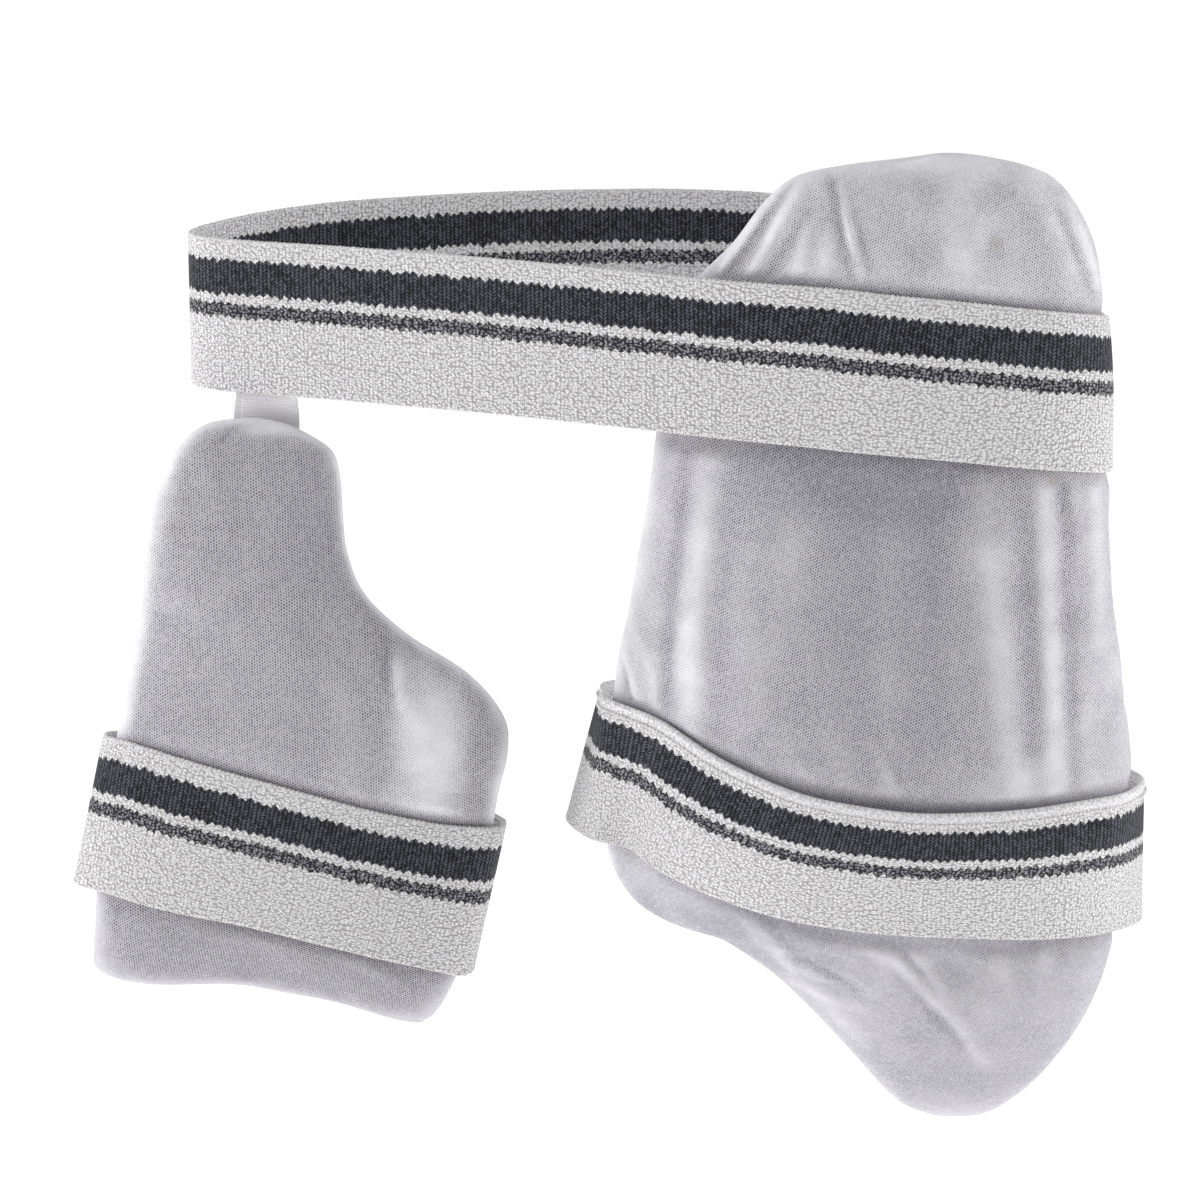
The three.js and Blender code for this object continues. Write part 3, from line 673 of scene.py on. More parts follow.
def shade_cover(cover, look, face, full, raised, held):
    """Marks on a cover's points how open its knit is, and how deep its tone, which is painted light: lighter
    towards its rim and on a fold's crest, darker in a groove and under a band.
    """
    slack, tone, kept = look
    rim_drawn_and_lit = smooth(RIM_KNIT_AND_HIGHLIGHT["steepness"] * full - RIM_KNIT_AND_HIGHLIGHT["start"])
    slack = slack * rim_drawn_and_lit - CREST_KNIT_AND_PAINTED_LIGHT["slack"] * raised + PRESSED_KNIT_AND_SHADOW["slack"] * held
    # The tone is painted light: a painted highlight at the rim and on crests, painted shade in grooves and a
    # painted shadow under a band
    tone = tone * (kept + (1 - kept) * rim_drawn_and_lit) - CREST_KNIT_AND_PAINTED_LIGHT["tone"] * raised + PRESSED_KNIT_AND_SHADOW["tone"] * held
    back_slack = BACK_LOOK["slack"] * rim_drawn_and_lit - CREST_KNIT_AND_PAINTED_LIGHT["back_slack"] * raised
    back_tone = BACK_LOOK["tone"] * rim_drawn_and_lit - CREST_KNIT_AND_PAINTED_LIGHT["back_tone"] * raised
    for mark, front, back in (("slack", slack, back_slack), ("tone", tone, back_tone)):
        layer = cover.data.attributes.new(mark, "FLOAT", "POINT")
        layer.data.foreach_set("value", np.clip(np.where(face > 0, front, back), 0, 1).ravel())


def panel_skin(name, panel, grid, folds, knit_and_light_at, seed):
    """The pad's cover, with its folds; knit_and_light_at says how open the knit is at a place in the cloth,
    how deep its tone of painted shade, and how much of that tone it keeps at its rim."""
    share = np.linspace(0, 1, grid["rows"] + 1)[1:-1]
    up = (1 - np.cos(np.pi * (share + CROWDING * np.sin(2 * np.pi * share) / (2 * np.pi)))) / 2
    turn = np.linspace(0, 2, grid["columns"], endpoint=False)
    turn = turn + CROWDING * np.sin(2 * np.pi * turn) / (2 * np.pi)
    across = -np.cos(np.pi * turn)
    face = np.where(turn < 1, 1, -1)
    along, height = panel.cloth(across, up)
    across_grid, up_grid = np.meshgrid(across, up)
    full = panel.full(across_grid, up_grid)
    under_tape = smooth((panel.taped - panel.size["height"] * (1 - up_grid)) / PRESS["shoulder"] + 1)
    behind = under_tape if panel.taped else 0
    held = np.where(face > 0, panel.pressed(across_grid, up_grid) / PRESS["depth"], behind)
    free = smooth(FADING["rim"] * full) * (1 - smooth(held * FADING["held"]))
    front = ridges(folds, along, height)
    back = ridges(BACK_FOLDS, along, height)
    wavy = WAVES["height"] * full**2 * ripples(along, height, seed)
    raised = (np.where(face > 0, front, back) + wavy) * free
    face_grid = face[None, :] + 0 * up_grid
    settled = settle(panel, across_grid, up_grid, face_grid, held)
    rings = panel.point(across_grid, up_grid, face_grid, raised + settled * free)
    turned_over = panel.size["thickness"] / 2 * (1 - panel.full(0, up_grid))
    laid = np.stack([round_the_rims(rings, along), height + np.sign(up_grid - 0.5) * turned_over], -1)
    cover = skin(name, rings, laid, False)
    shade_cover(cover, knit_and_light_at(along, height), face, full, raised, held)
    return cover


def band_on_panel(panel, rows, band, stand, low, high):
    """Stations of webbing on a panel's outer face, as a function of the level across it."""
    lift = band["clearance"] + WEBBING["thickness"] / 2
    place = rows["across"]
    level_of = band["level"]

    def at(level):
        left = panel.point(place - NEARBY, level_of(place - NEARBY), 1)
        right = panel.point(place + NEARBY, level_of(place + NEARBY), 1)
        run = np.hypot(right[:, 0] - left[:, 0], right[:, 1] - left[:, 1])
        slope = (right[:, 2] - left[:, 2]) / run
        kept = 1 + (np.where(level < 0, low, high) - 1) * smooth(abs(level))
        reach = kept * (level * band["width"]) / 2 / np.hypot(1, slope)
        across = place - (reach * slope * 2 * NEARBY) / run
        up = level_of(place) + reach / panel.size["height"]
        off = lift + stand * band["width"] * max(0, (level + 1) / 2) ** 2
        return panel.point(across, up, 1, off)

    return at


def band_free(middles, across, width):
    """Stations of webbing that hangs free."""
    across = across / np.linalg.norm(across, axis=-1, keepdims=True)
    return lambda level: middles + across * (level * width) / 2


def closed_curve(points, steps):
    """A smooth closed curve through points, and its directions."""
    place = np.arange(steps) * len(points) / steps
    row = np.floor(place).astype(int)
    t = (place - row)[:, None]
    before, start, end, after = (points[(row + shift) % len(points)] for shift in (-1, 0, 1, 2))
    leave = (end - before) / 2
    arrive = (after - start) / 2
    a = 2 * start - 2 * end + leave + arrive
    b = -3 * start + 3 * end - 2 * leave - arrive
    return a * t**3 + b * t**2 + leave * t + start, 3 * a * t**2 + 2 * b * t + leave


def band_rings(stations, steps, width, roll=0.0):
    """Rings of a closed loop of webbing with rounded rims, its cloth coordinates, and the
    lines of its outer face. roll is how much the upper rim is rolled thicker."""
    levels = -np.cos(np.linspace(0, math.pi, WEBBING_LEVELS))

    def curve_at(level):
        return closed_curve(np.concatenate([at(level) for at in stations]), steps)

    lines = np.array([curve_at(level)[0] for level in levels])
    centre, along = curve_at(0)
    across = lines[-1] - lines[0]
    across /= np.linalg.norm(across, axis=-1, keepdims=True)
    out = np.cross(along, across)
    out /= np.linalg.norm(out, axis=-1, keepdims=True)
    lengths = np.linalg.norm(np.roll(centre, -1, axis=0) - centre, axis=-1)
    run = np.concatenate([[0], np.cumsum(lengths)])
    below_upper = (1 - levels) / 2 * width
    above_lower = (1 + levels) / 2 * width
    groove = (below_upper - ROLLED_RIM["groove_below"]) / ROLLED_RIM["groove_spread"]
    rim = np.exp(-((below_upper / ROLLED_RIM["spread"]) ** 2)) - ROLLED_RIM["groove"] * np.exp(-(groove**2))
    lower_rim = LOWER_RIM["thicker"] * np.exp(-((above_lower / LOWER_RIM["spread"]) ** 2))
    half = WEBBING["thickness"] / 2 * (1 + roll * rim + lower_rim)
    spans = np.linalg.norm(np.diff(lines, axis=0), axis=-1)
    climb = np.concatenate([np.zeros((1, steps)), np.cumsum(spans, axis=0)])
    climb *= width / climb[-1]
    ring, heights = [], []
    for face, end in ((-1, -1), (1, 0)):
        for index in range(WEBBING_LEVELS)[::-face]:
            ring.append(lines[index] + face * out * half[index])
            heights.append(climb[index])
        for angle in np.linspace(90 * face, -90 * face, RIM_POINTS + 2)[1:-1]:
            past = math.cos(math.radians(angle)) * half[end]
            lean = math.sin(math.radians(angle)) * half[end]
            ring.append(lines[end] - face * across * past + out * lean)
            heights.append(climb[end] - face * past)
    up = np.stack(heights, 1)
    up = np.concatenate([up, up[:1]])
    pattern = np.stack([np.broadcast_to(run[:, None], up.shape), up], -1)
    guides = {"lower": lines[0], "upper": lines[-1], "out": out, "across": across}
    return np.stack(ring, 1), pattern, guides


belt_width = WEBBING["width"] * WAIST_LOOP["drawn"]
outer_strap_width = WEBBING["width"] * OUTER_LOOP["drawn"]
inner_strap_width = WEBBING["width"] * INNER_LOOP["drawn"]

belt_crossing = WEBBING["width"] * read(BELT_ON_PAD, "across", "rise", BELT_ON_OUTER_PAD["across"])
outer_foot = belt_crossing - OUTER_PAD["height"] * BELT_ON_OUTER_PAD["level"]
outer_edge = read(OUTER_OUTLINE, "up", "right", BELT_ON_OUTER_PAD["level"], round_ends)


def belt_level(across):
    return (WEBBING["width"] * read(BELT_ON_PAD, "across", "rise", across) - outer_foot) / OUTER_PAD["height"]


belt_band = {"width": belt_width, "level": belt_level, "clearance": BAND_CLEARANCE["belt"]}


def strap_level(rows):
    return lambda across: read(rows, "across", "up", across)


outer_band = {
    "width": outer_strap_width,
    "level": strap_level(OUTER_STRAP_ON_PAD),
    "clearance": BAND_CLEARANCE["outer strap"],
}
inner_band = {
    "width": inner_strap_width,
    "level": strap_level(INNER_STRAP_ON_PAD),
    "clearance": BAND_CLEARANCE["inner strap"],
}


def inner_foot_lift(share, up):
    """The inner pad's lower edge is hollowed between its two lobes, the right one the higher."""
    low = 1 - smooth(up / FOOT_REACH)
    hollow = FOOT_HOLLOW["depth"] * smooth((share - FOOT_HOLLOW["from"]) / FOOT_HOLLOW["spread"])
    lobe = FOOT_LOBE["depth"] * smooth((share - FOOT_LOBE["from"]) / FOOT_LOBE["spread"])
    return INNER_PAD["height"] * low * (hollow - lobe)


outer_panel = Panel(
    OUTER_PAD,
    OUTER_OUTLINE,
    OUTER_BEND,
    (
        WAIST_LOOP["length"] / 2 - OUTER_PAD["thickness"] * WRAPPED_EDGE - OUTER_PAD["width"] * outer_edge,
        -WAIST_LOOP["depth"] / 2 + OUTER_PAD["thickness"] / 2,
        outer_foot,
    ),
    pressed_by=(belt_band, outer_band),
)
inner_panel = Panel(
    INNER_PAD,
    INNER_OUTLINE,
    INNER_BEND,
    (0, 0, 0),
    inner_foot_lift,
    pressed_by=(inner_band,),
    taped=TAB_LENGTH["on_pad"],
)


def belt_place(along, away, rise):
    """Places on the waist loop, from a row of its tables."""
    shape = np.broadcast(along, away, rise).shape
    places = (along * WAIST_LOOP["length"], away * WAIST_LOOP["depth"], rise * WEBBING["width"])
    return np.stack([np.broadcast_to(place, shape) for place in places], -1)


def belt_stations():
    upright = np.array([0.0, 0.0, 1.0])
    on_pad = band_on_panel(outer_panel, BELT_ON_PAD, belt_band, BELT_UPPER_RIM_STAND, 1, 1)
    back, front = (band_free(belt_place(**rows), upright, belt_width) for rows in (BELT_BACK, BELT_FRONT))
    return on_pad, back, front


def strap_stations(panel, loop, band, on_rows, free_rows):
    on_pad = band_on_panel(panel, on_rows, band, on_rows["stand"], on_rows["low"], on_rows["high"])
    x = panel.corner[0] + free_rows["along"] * panel.size["width"]
    y = panel.corner[1] - panel.size["thickness"] / 2 + free_rows["away"] * loop["depth"]
    z = panel.corner[2] + free_rows["up"] * panel.size["height"]
    tip = free_rows["tip"]
    across = np.stack([tip, np.zeros_like(tip), np.ones_like(tip)], -1)
    return on_pad, band_free(np.stack([x, y, z], -1), across, band["width"])


# The inner pad hangs askew from its tape
apex = np.array([INNER_OUTLINE["left"][-1] * INNER_PAD["width"], 0, INNER_PAD["height"]])
front_rows = {name: column[1:] for name, column in BELT_FRONT.items()}


def belt_front_at(along):
    away = read(front_rows, "along", "away", along)
    rise = read(front_rows, "along", "rise", along)
    return belt_place(along, away, rise)


tab_top = belt_front_at(TAB["along"])
tab_reach = TAB["top"] / 2 / WAIST_LOOP["length"]
belt_at_tab = belt_front_at(TAB["along"] + tab_reach) - belt_front_at(TAB["along"] - tab_reach)
belt_turn = math.atan2(belt_at_tab[1], belt_at_tab[0])
belt_foot = tab_top[2] - belt_width / 2
tab_line = tab_top[1] + (WEBBING["thickness"] + TAB["thickness"]) / 2 + TAB_CLEARANCE["belt"]
tilt = math.radians(INNER_TILT)
lean = np.array([[math.cos(tilt), 0, math.sin(tilt)], [0, 1, 0], [-math.sin(tilt), 0, math.cos(tilt)]])
pad_back = inner_panel.point(0, 1 - TAB_LENGTH["on_pad"] / INNER_PAD["height"], -1)[1]
hung_apex = lean @ apex
inner_place = np.array(
    [
        tab_top[0] + TAB["aside"] - hung_apex[0],
        tab_line - TAB["thickness"] / 2 - TAB_CLEARANCE["pad"] - pad_back,
        belt_foot - TAB_LENGTH["shown"] - hung_apex[2],
    ]
)


def hang(points):
    """Puts points of the inner pad's own axes where it hangs."""
    return points @ lean.T + inner_place


class Shades:
    """Short ways to make and join a material's nodes."""

    def __init__(self, name):
        self.material = bpy.data.materials.new(name)
        self.material.use_nodes = True
        self.tree = self.material.node_tree
        self.surface = self.tree.nodes["Principled BSDF"]

    def node(self, kind, **settings):
        made = self.tree.nodes.new("ShaderNode" + kind)
        for name, value in settings.items():
            setattr(made, name, value)
        return made

    def feed(self, socket, value):
        if isinstance(value, bpy.types.NodeSocket):
            self.tree.links.new(value, socket)
        elif value is not None:
            socket.default_value = value

    def math(self, operation, *values, clamp=False):
        made = self.node("Math", operation=operation, use_clamp=clamp)
        for socket, value in zip(made.inputs, values):
            self.feed(socket, value)
        return made.outputs[0]

    def plus(self, first, second):
        return self.math("ADD", first, second)

    def minus(self, first, second):
        return self.math("SUBTRACT", first, second)

    def times(self, first, second, clamp=False):
        return self.math("MULTIPLY", first, second, clamp=clamp)

    def over(self, first, second):
        return self.math("DIVIDE", first, second)

    def mix(self, share, first, second):
        made = self.node("Mix", data_type="RGBA")
        self.feed(made.inputs["Factor"], share)
        self.feed(made.inputs[6], first)
        self.feed(made.inputs[7], second)
        return made.outputs[2]

    def range(self, value, low, high, to_low=0.0, to_high=1.0):
        made = self.node("MapRange", interpolation_type="SMOOTHSTEP")
        for socket, given in zip(made.inputs, (value, low, high, to_low, to_high)):
            self.feed(socket, given)
        return made.outputs[0]

    def noise(self, place, scale, detail=2.0):
        made = self.node("TexNoise")
        for name, value in {"Vector": place, "Scale": scale, "Detail": detail}.items():
            self.feed(made.inputs[name], value)
        return made

    def bump(self, height, distance, strength=1.0):
        made = self.node("Bump")
        for name, value in {"Height": height, "Distance": distance, "Strength": strength}.items():
            self.feed(made.inputs[name], value)
        return made.outputs[0]

    def vectors(self, operation, first, second, into=1):
        made = self.node("VectorMath", operation=operation)
        self.feed(made.inputs[0], first)
        self.feed(made.inputs[into], second)
        return made.outputs

    def cloth(self, tone, normal, roughness, sheen=0.0, specular=0.5):
        """Finishes the surface as cloth or yarn, and gives its material."""
        inputs = {"Base Color": tone, "Normal": normal, "Roughness": roughness}
        inputs.update({"Sheen Weight": sheen, "Specular IOR Level": specular})
        for name, value in inputs.items():
            self.feed(self.surface.inputs[name], value)
        return self.material


def colour(shade, *deeper):
    """A colour given as it looks on a screen, from 0 to 255, for a socket; deeper holds a
    share for each of its three values, where it is to be darker."""
    shares = deeper or (1, 1, 1)
    return tuple((value * share / 255) ** 2.2 for value, share in zip(shade, shares)) + (1.0,)


def between_tones(shades, share, tones):
    """A mix from the deep tone of a pair to its high one."""
    deep, high = tones
    return shades.mix(share, colour(deep), colour(high))


def cloth_axes(shades, turn, wander, wander_scale):
    """The cloth's own coordinates in millimetres, turned by an angle in degrees, and made
    to wander a little as knitted rows do."""
    place = shades.node("UVMap", uv_map="cloth").outputs[0]
    drift = shades.noise(place, wander_scale, 1.0).outputs["Color"]
    centred = shades.vectors("SUBTRACT", drift, (0.5, 0.5, 0.5))[0]
    small = shades.vectors("SCALE", centred, wander * MM, "Scale")[0]
    moved = shades.vectors("ADD", place, small)[0]
    mapped = shades.node("Mapping")
    shades.feed(mapped.inputs["Vector"], moved)
    mapped.inputs["Rotation"].default_value = (0, 0, math.radians(turn))
    mapped.inputs["Scale"].default_value = (1 / MM, 1 / MM, 1 / MM)
    apart = shades.node("SeparateXYZ")
    shades.feed(apart.inputs[0], mapped.outputs[0])
    return place, apart.outputs[0], apart.outputs[1]


def cell_chance(shades, x, y):
    """A chance value from 0 to 1 for each stitch, from its column and row numbers."""
    cell = shades.node("CombineXYZ")
    shades.feed(cell.inputs[0], x)
    shades.feed(cell.inputs[1], y)
    chance = shades.node("TexWhiteNoise", noise_dimensions="2D")
    shades.feed(chance.inputs["Vector"], cell.outputs[0])
    return chance.outputs["Value"]


def dome(shades, share):
    """A rounded height across one cell: 0 at its two sides and 1 in its middle."""
    centred = shades.minus(shades.times(share, 2.0), 1.0)
    return shades.minus(1.0, shades.times(centred, centred))


def pad_cover(name, turn, wale, course, stains):
    """Fine pale knit: staggered pin-holes between its ribs, which show where the cloth is
    slack and close where it is drawn over a rim or a ridge."""
    shades = Shades(name)
    place, x, y = cloth_axes(shades, turn, wander=1.2, wander_scale=60.0)
    column = shades.over(x, wale)
    column_number = shades.math("FLOOR", column)
    stagger = shades.times(shades.math("MODULO", column_number, 2.0), 0.5)
    row = shades.plus(shades.over(y, course), stagger)
    across_rib = dome(shades, shades.math("FRACT", column))
    along_rib = dome(shades, shades.math("FRACT", row))
    stitch = shades.times(across_rib, along_rib)
    chance = cell_chance(shades, column_number, shades.math("FLOOR", row))
    hole = shades.range(stitch, 0.15, 0.75)
    valley = shades.minus(1.0, shades.range(across_rib, 0.0, 0.6))
    slack = shades.node("Attribute", attribute_name="slack").outputs["Fac"]
    tone = shades.node("Attribute", attribute_name="tone").outputs["Fac"]
    patches = shades.noise(place, 70.0, 3.0).outputs["Fac"]
    streaks = shades.noise(place, 420.0, 2.0).outputs["Fac"]
    open_knit = shades.plus(slack, shades.times(shades.minus(patches, 0.5), 0.3))
    shown = shades.range(open_knit, 0.0, 0.85, 0.18, 1.0)
    uneven = shades.plus(shades.times(chance, 0.34), 0.58)
    dark = shades.times(shades.times(hole, shown), uneven, clamp=True)
    # The tone attribute paints light into the knit: drawn is a painted highlight, painted_shade is painted
    # shade
    drawn = between_tones(shades, shades.range(tone, 0.0, 0.55), (KNIT["drawn"], KNIT["slack"]))
    painted_shade = shades.mix(shades.range(tone, 0.5, 1.15), drawn, colour(KNIT["painted_shade"]))
    cloudy = shades.mix(shades.range(patches, 0.35, 0.7, 0.0, 0.2), painted_shade, colour(KNIT["cloudy"]))
    marked = shades.mix(shades.range(streaks, 0.42, 0.72, 0.0, 0.35), cloudy, colour(KNIT["streak"]))
    for at, reach, strength, shade in stains:
        away = shades.vectors("DISTANCE", place, (at[0] * MM, at[1] * MM, 0))["Value"]
        ragged = shades.plus(away, shades.times(streaks, reach * MM))
        soiled = shades.range(ragged, 0.3 * reach * MM, 1.4 * reach * MM, strength, 0.0)
        marked = shades.mix(soiled, marked, colour(shade))
    # Painted shade in the valleys between the ribs
    ribbed = shades.mix(shades.times(valley, 0.3), marked, colour(KNIT["valley"]))
    knit = shades.mix(dark, ribbed, colour(KNIT["hole"]))
    rise = shades.minus(1.0, shades.times(dark, 0.9))
    normal = shades.bump(rise, distance=0.0005, strength=0.6)
    return shades.cloth(knit, normal, roughness=0.92, sheen=0.12, specular=0.15)


def striped_elastic(name, width, rim):
    """Thick knitted elastic: columns of leaning stitches, white with a dark stripe and a
    mottled one, whose edges are toothed because the yarn changes from stitch to stitch.
    rim is the height of the plain rolled rim at its top, in millimetres."""
    shades = Shades(name)
    place, x, y = cloth_axes(shades, 0.0, wander=0.9, wander_scale=400.0)
    wale, course, slant = 3.7, 1.45, 0.95
    leg = shades.over(x, wale / 2)
    leg_number = shades.math("FLOOR", leg)
    leg_place = shades.math("FRACT", leg)
    side = shades.minus(shades.times(shades.math("MODULO", leg_number, 2.0), 2.0), 1.0)
    leaning = shades.times(shades.minus(leg_place, 0.5), shades.times(side, slant))
    phase = shades.times(cell_chance(shades, leg_number, 3.0), 0.75)
    row = shades.plus(shades.plus(shades.over(y, course), leaning), phase)
    row_number = shades.math("FLOOR", row)
    stitch = shades.times(dome(shades, leg_place), dome(shades, shades.math("FRACT", row)))
    chance = cell_chance(shades, leg_number, row_number)
    fullness = shades.plus(shades.times(chance, 0.6), 0.5)
    lump = shades.times(shades.math("POWER", stitch, 0.65), fullness)
    middle_row = shades.plus(shades.minus(row_number, phase), 0.5)
    share = shades.times(middle_row, course / width)

    beside = shades.node("CombineXYZ")
    shades.feed(beside.inputs[0], shades.over(x, 1.55))
    shades.feed(beside.inputs[1], shades.over(y, 1.2))
    pebbles = shades.node("TexVoronoi", voronoi_dimensions="2D")
    shades.feed(pebbles.inputs["Vector"], beside.outputs[0])
    pebbles.inputs["Scale"].default_value = 1.0
    pebbles.inputs["Randomness"].default_value = 0.8
    pebble = shades.range(pebbles.outputs["Distance"], 0.05, 0.85, 1.0, 0.0)
    rib = shades.range(dome(shades, leg_place), 0.0, 0.7, 0.55, 1.0)
    ribbed = shades.times(shades.times(rib, pebble), shades.plus(fullness, 0.2))
    # Each stripe runs from painted shade in the gaps between stitches to a painted highlight on their crowns,
    # with a random fullness for each stitch
    white = between_tones(shades, shades.range(ribbed, 0.0, 0.85), ELASTIC["white"])
    dark = between_tones(shades, shades.range(lump, 0.12, 1.0), ELASTIC["dark"])
    mottled = between_tones(shades, shades.range(ribbed, 0.32, 1.05), ELASTIC["mottled"])
    tone = white
    for start, shade in zip(STRIPES.values(), (mottled, white, dark, white)):
        tone = shades.mix(shades.math("GREATER_THAN", share, start), tone, shade)
    above = shades.math("GREATER_THAN", share, STRIPES["dark"])
    coloured = shades.times(above, shades.math("LESS_THAN", share, STRIPES["white above"]))
    grain = shades.noise(place, 900.0).outputs["Fac"]
    rolled = shades.math("GREATER_THAN", y, width - rim)
    fuzz = between_tones(shades, shades.range(grain, 0.35, 0.65), ELASTIC["rolled"])
    tone = shades.mix(rolled, tone, fuzz)
    shaped = shades.plus(ribbed, shades.times(coloured, shades.minus(lump, ribbed)))
    knit = shades.times(shaped, shades.minus(1.0, rolled))
    rise = shades.plus(knit, shades.times(grain, 0.4))
    normal = shades.bump(rise, distance=0.0008, strength=0.9)
    return shades.cloth(tone, normal, roughness=0.92, sheen=0.12, specular=0.15)


def woven_tape(name):
    """Soft white tape with fine crosswise threads."""
    shades = Shades(name)
    up = cloth_axes(shades, 0.0, wander=0.4, wander_scale=200.0)[2]
    pitch = 0.9
    thread = shades.math("SINE", shades.times(up, 2 * math.pi / pitch))
    tone = between_tones(shades, shades.range(thread, -1.0, 1.0), TAPE)
    return shades.cloth(tone, shades.bump(thread, distance=0.00012, strength=0.5), roughness=0.75)


def yarn(name, shade):
    """Twisted cotton yarn of one colour."""
    shades = Shades(name)
    place = shades.node("TexCoord").outputs["Object"]
    strands = shades.noise(place, 1500.0).outputs["Fac"]
    tone = shades.mix(shades.range(strands, 0.3, 0.7), colour(shade, 0.78, 0.77, 0.76), colour(shade))
    normal = shades.bump(strands, distance=0.0003, strength=0.6)
    return shades.cloth(tone, normal, roughness=0.9, sheen=0.15, specular=0.15)


def stitch_group():
    """Geometry nodes that set rounded stitches at an even pitch along a guide line."""
    group = bpy.data.node_groups.new("row of stitches", "GeometryNodeTree")
    sockets = {"Guide": "Geometry"}
    sockets.update({name: "Float" for name in RIM_LOOP})
    sockets.update({"Seed": "Int", "Yarn": "Material"})
    for name, kind in sockets.items():
        group.interface.new_socket(name, in_out="INPUT", socket_type="NodeSocket" + kind)
    group.interface.new_socket("Stitches", in_out="OUTPUT", socket_type="NodeSocketGeometry")

    def node(kind, inputs=None, **settings):
        """Adds a node; inputs holds a socket to join, or a plain value, for each of its inputs."""
        made = group.nodes.new(kind)
        for name, value in settings.items():
            setattr(made, name, value)
        for name, value in (inputs or {}).items():
            if isinstance(value, bpy.types.NodeSocket):
                group.links.new(value, made.inputs[name])
            else:
                made.inputs[name].default_value = value
        return made.outputs

    given = node("NodeGroupInput")
    line = node("GeometryNodeMeshToCurve", {"Mesh": given["Guide"]})
    spaced = node("GeometryNodeResampleCurve", {"Curve": line[0], "Length": given["Pitch"]}, mode="LENGTH")
    ball = node("GeometryNodeMeshUVSphere", STITCH_BALL)
    ahead = node("GeometryNodeInputTangent")
    outward = node("GeometryNodeInputNamedAttribute", {"Name": "outward"}, data_type="FLOAT_VECTOR")
    align = "FunctionNodeAlignRotationToVector"
    along = node(align, {"Vector": ahead[0]}, axis="X")
    facing = node(align, {"Rotation": along[0], "Vector": outward[0]}, axis="Z", pivot_axis="X")
    leaning = node("FunctionNodeAxisAngleToRotation", {"Axis": (0, 0, 1), "Angle": given["Lean"]})
    both = {"Rotation": facing[0], "Rotate By": leaning[0]}
    turned = node("FunctionNodeRotateRotation", both, rotation_space="LOCAL")
    least = node("ShaderNodeMath", {0: 1, 1: given["Unevenness"]}, operation="SUBTRACT")
    chance = node("FunctionNodeRandomValue", {2: least[0], 3: 1, "Seed": given["Seed"]}, data_type="FLOAT")
    sizes = {axis: given["Stitch " + name] for axis, name in enumerate(("Length", "Width", "Height"))}
    size = node("ShaderNodeCombineXYZ", sizes)
    uneven = node("ShaderNodeVectorMath", {0: size[0], "Scale": chance[1]}, operation="SCALE")
    set_out = {"Points": spaced[0], "Instance": ball[0], "Rotation": turned[0], "Scale": uneven[0]}
    copies = node("GeometryNodeInstanceOnPoints", set_out)
    real = node("GeometryNodeRealizeInstances", {0: copies[0]})
    dressed = node("GeometryNodeSetMaterial", {"Geometry": real[0], "Material": given["Yarn"]})
    node("NodeGroupOutput", {0: dressed[0]})
    return group


def stitches(name, group, places, outward, shape, seed, material):
    """A closed row of stitches along a line of places, as a plain mesh."""
    count = len(places)
    ends = [(index, (index + 1) % count) for index in range(count)]
    guide = bpy.data.meshes.new(name)
    guide.from_pydata((places * MM).tolist(), ends, [])
    layer = guide.attributes.new("outward", "FLOAT_VECTOR", "POINT")
    layer.data.foreach_set("vector", outward.ravel())
    row = bpy.data.objects.new(name, guide)
    bpy.context.scene.collection.objects.link(row)
    modifier = row.modifiers.new("stitches", "NODES")
    modifier.node_group = group
    names = {item.name: item.identifier for item in group.interface.items_tree if item.in_out == "INPUT"}
    for key, value in {**shape, "Seed": seed, "Yarn": material}.items():
        modifier[names[key]] = value
    evaluated = row.evaluated_get(bpy.context.evaluated_depsgraph_get())
    mesh = bpy.data.meshes.new_from_object(evaluated)
    row.modifiers.clear()
    row.data = mesh
    mesh.shade_smooth()
    return row


def finish(piece, node, material=None):
    """Gives a piece its material, hangs it from the root body, and hides the imported part of the given node.
    """
    if material:
        piece.data.materials.append(material)
    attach(piece, "root")
    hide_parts(node)


def bell(place, middle, spread):
    return np.exp(-(((place - middle) / spread) ** 2))


def outer_knit_and_painted_shade(along, height):
    """The outer cover's knit is slackest down its middle, most of all under the belt, and its foot is smooth.
    Its tone is painted shade: darkest down the middle and under the belt, lighter at the top, and darker over
    the foot, most of all to its left."""
    below_belt = smooth((345 - height) / 40)
    middle = bell(along, 98, 50) * smooth((height - 110) / 90) * below_belt
    shadow_under_belt = bell(along, 90, 60) * smooth((height - 262) / 45) * below_belt
    top = smooth((height - 350) / 20)
    foot = smooth((125 - height) / 30)
    slack = 0.46 + 0.38 * middle + 0.2 * shadow_under_belt + 0.12 * top - 0.06 * foot
    left_foot = foot * smooth((100 - along) / 70)
    # Painted shade: darker down the middle and under the belt, lighter at the top, darker on the foot and its
    # left part
    tone = 0.33 + 0.43 * middle + 0.45 * shadow_under_belt - 0.08 * top + 0.34 * foot + 0.3 * left_foot
    return slack, tone, 0.8 * foot


def inner_knit_and_painted_light(along, height):
    """The inner cover is slack all over its flat front, and drawn over its right lobe. Its tone is painted
    light: a painted highlight on the right lobe and down the left rim, and painted shade over the upper right
    and a little on the foot.
    """
    lobe = bell(along, 136, 22) * smooth((height - 80) / 40) * smooth((185 - height) / 40)
    neck = smooth((along - 25) / 60) * smooth((height - 170) / 60)
    left_rim = bell(along, 4, 7) * smooth((height - 60) / 40)
    foot = smooth((75 - height) / 25)
    slack = 0.8 - 0.3 * lobe - 0.4 * left_rim
    # Painted light: lighter on the lobe and the left rim, darker over the neck and a little on the foot
    tone = 0.54 - 0.36 * lobe + 0.3 * neck - 0.46 * left_rim + 0.06 * foot
    return slack, tone, 0.7 * foot


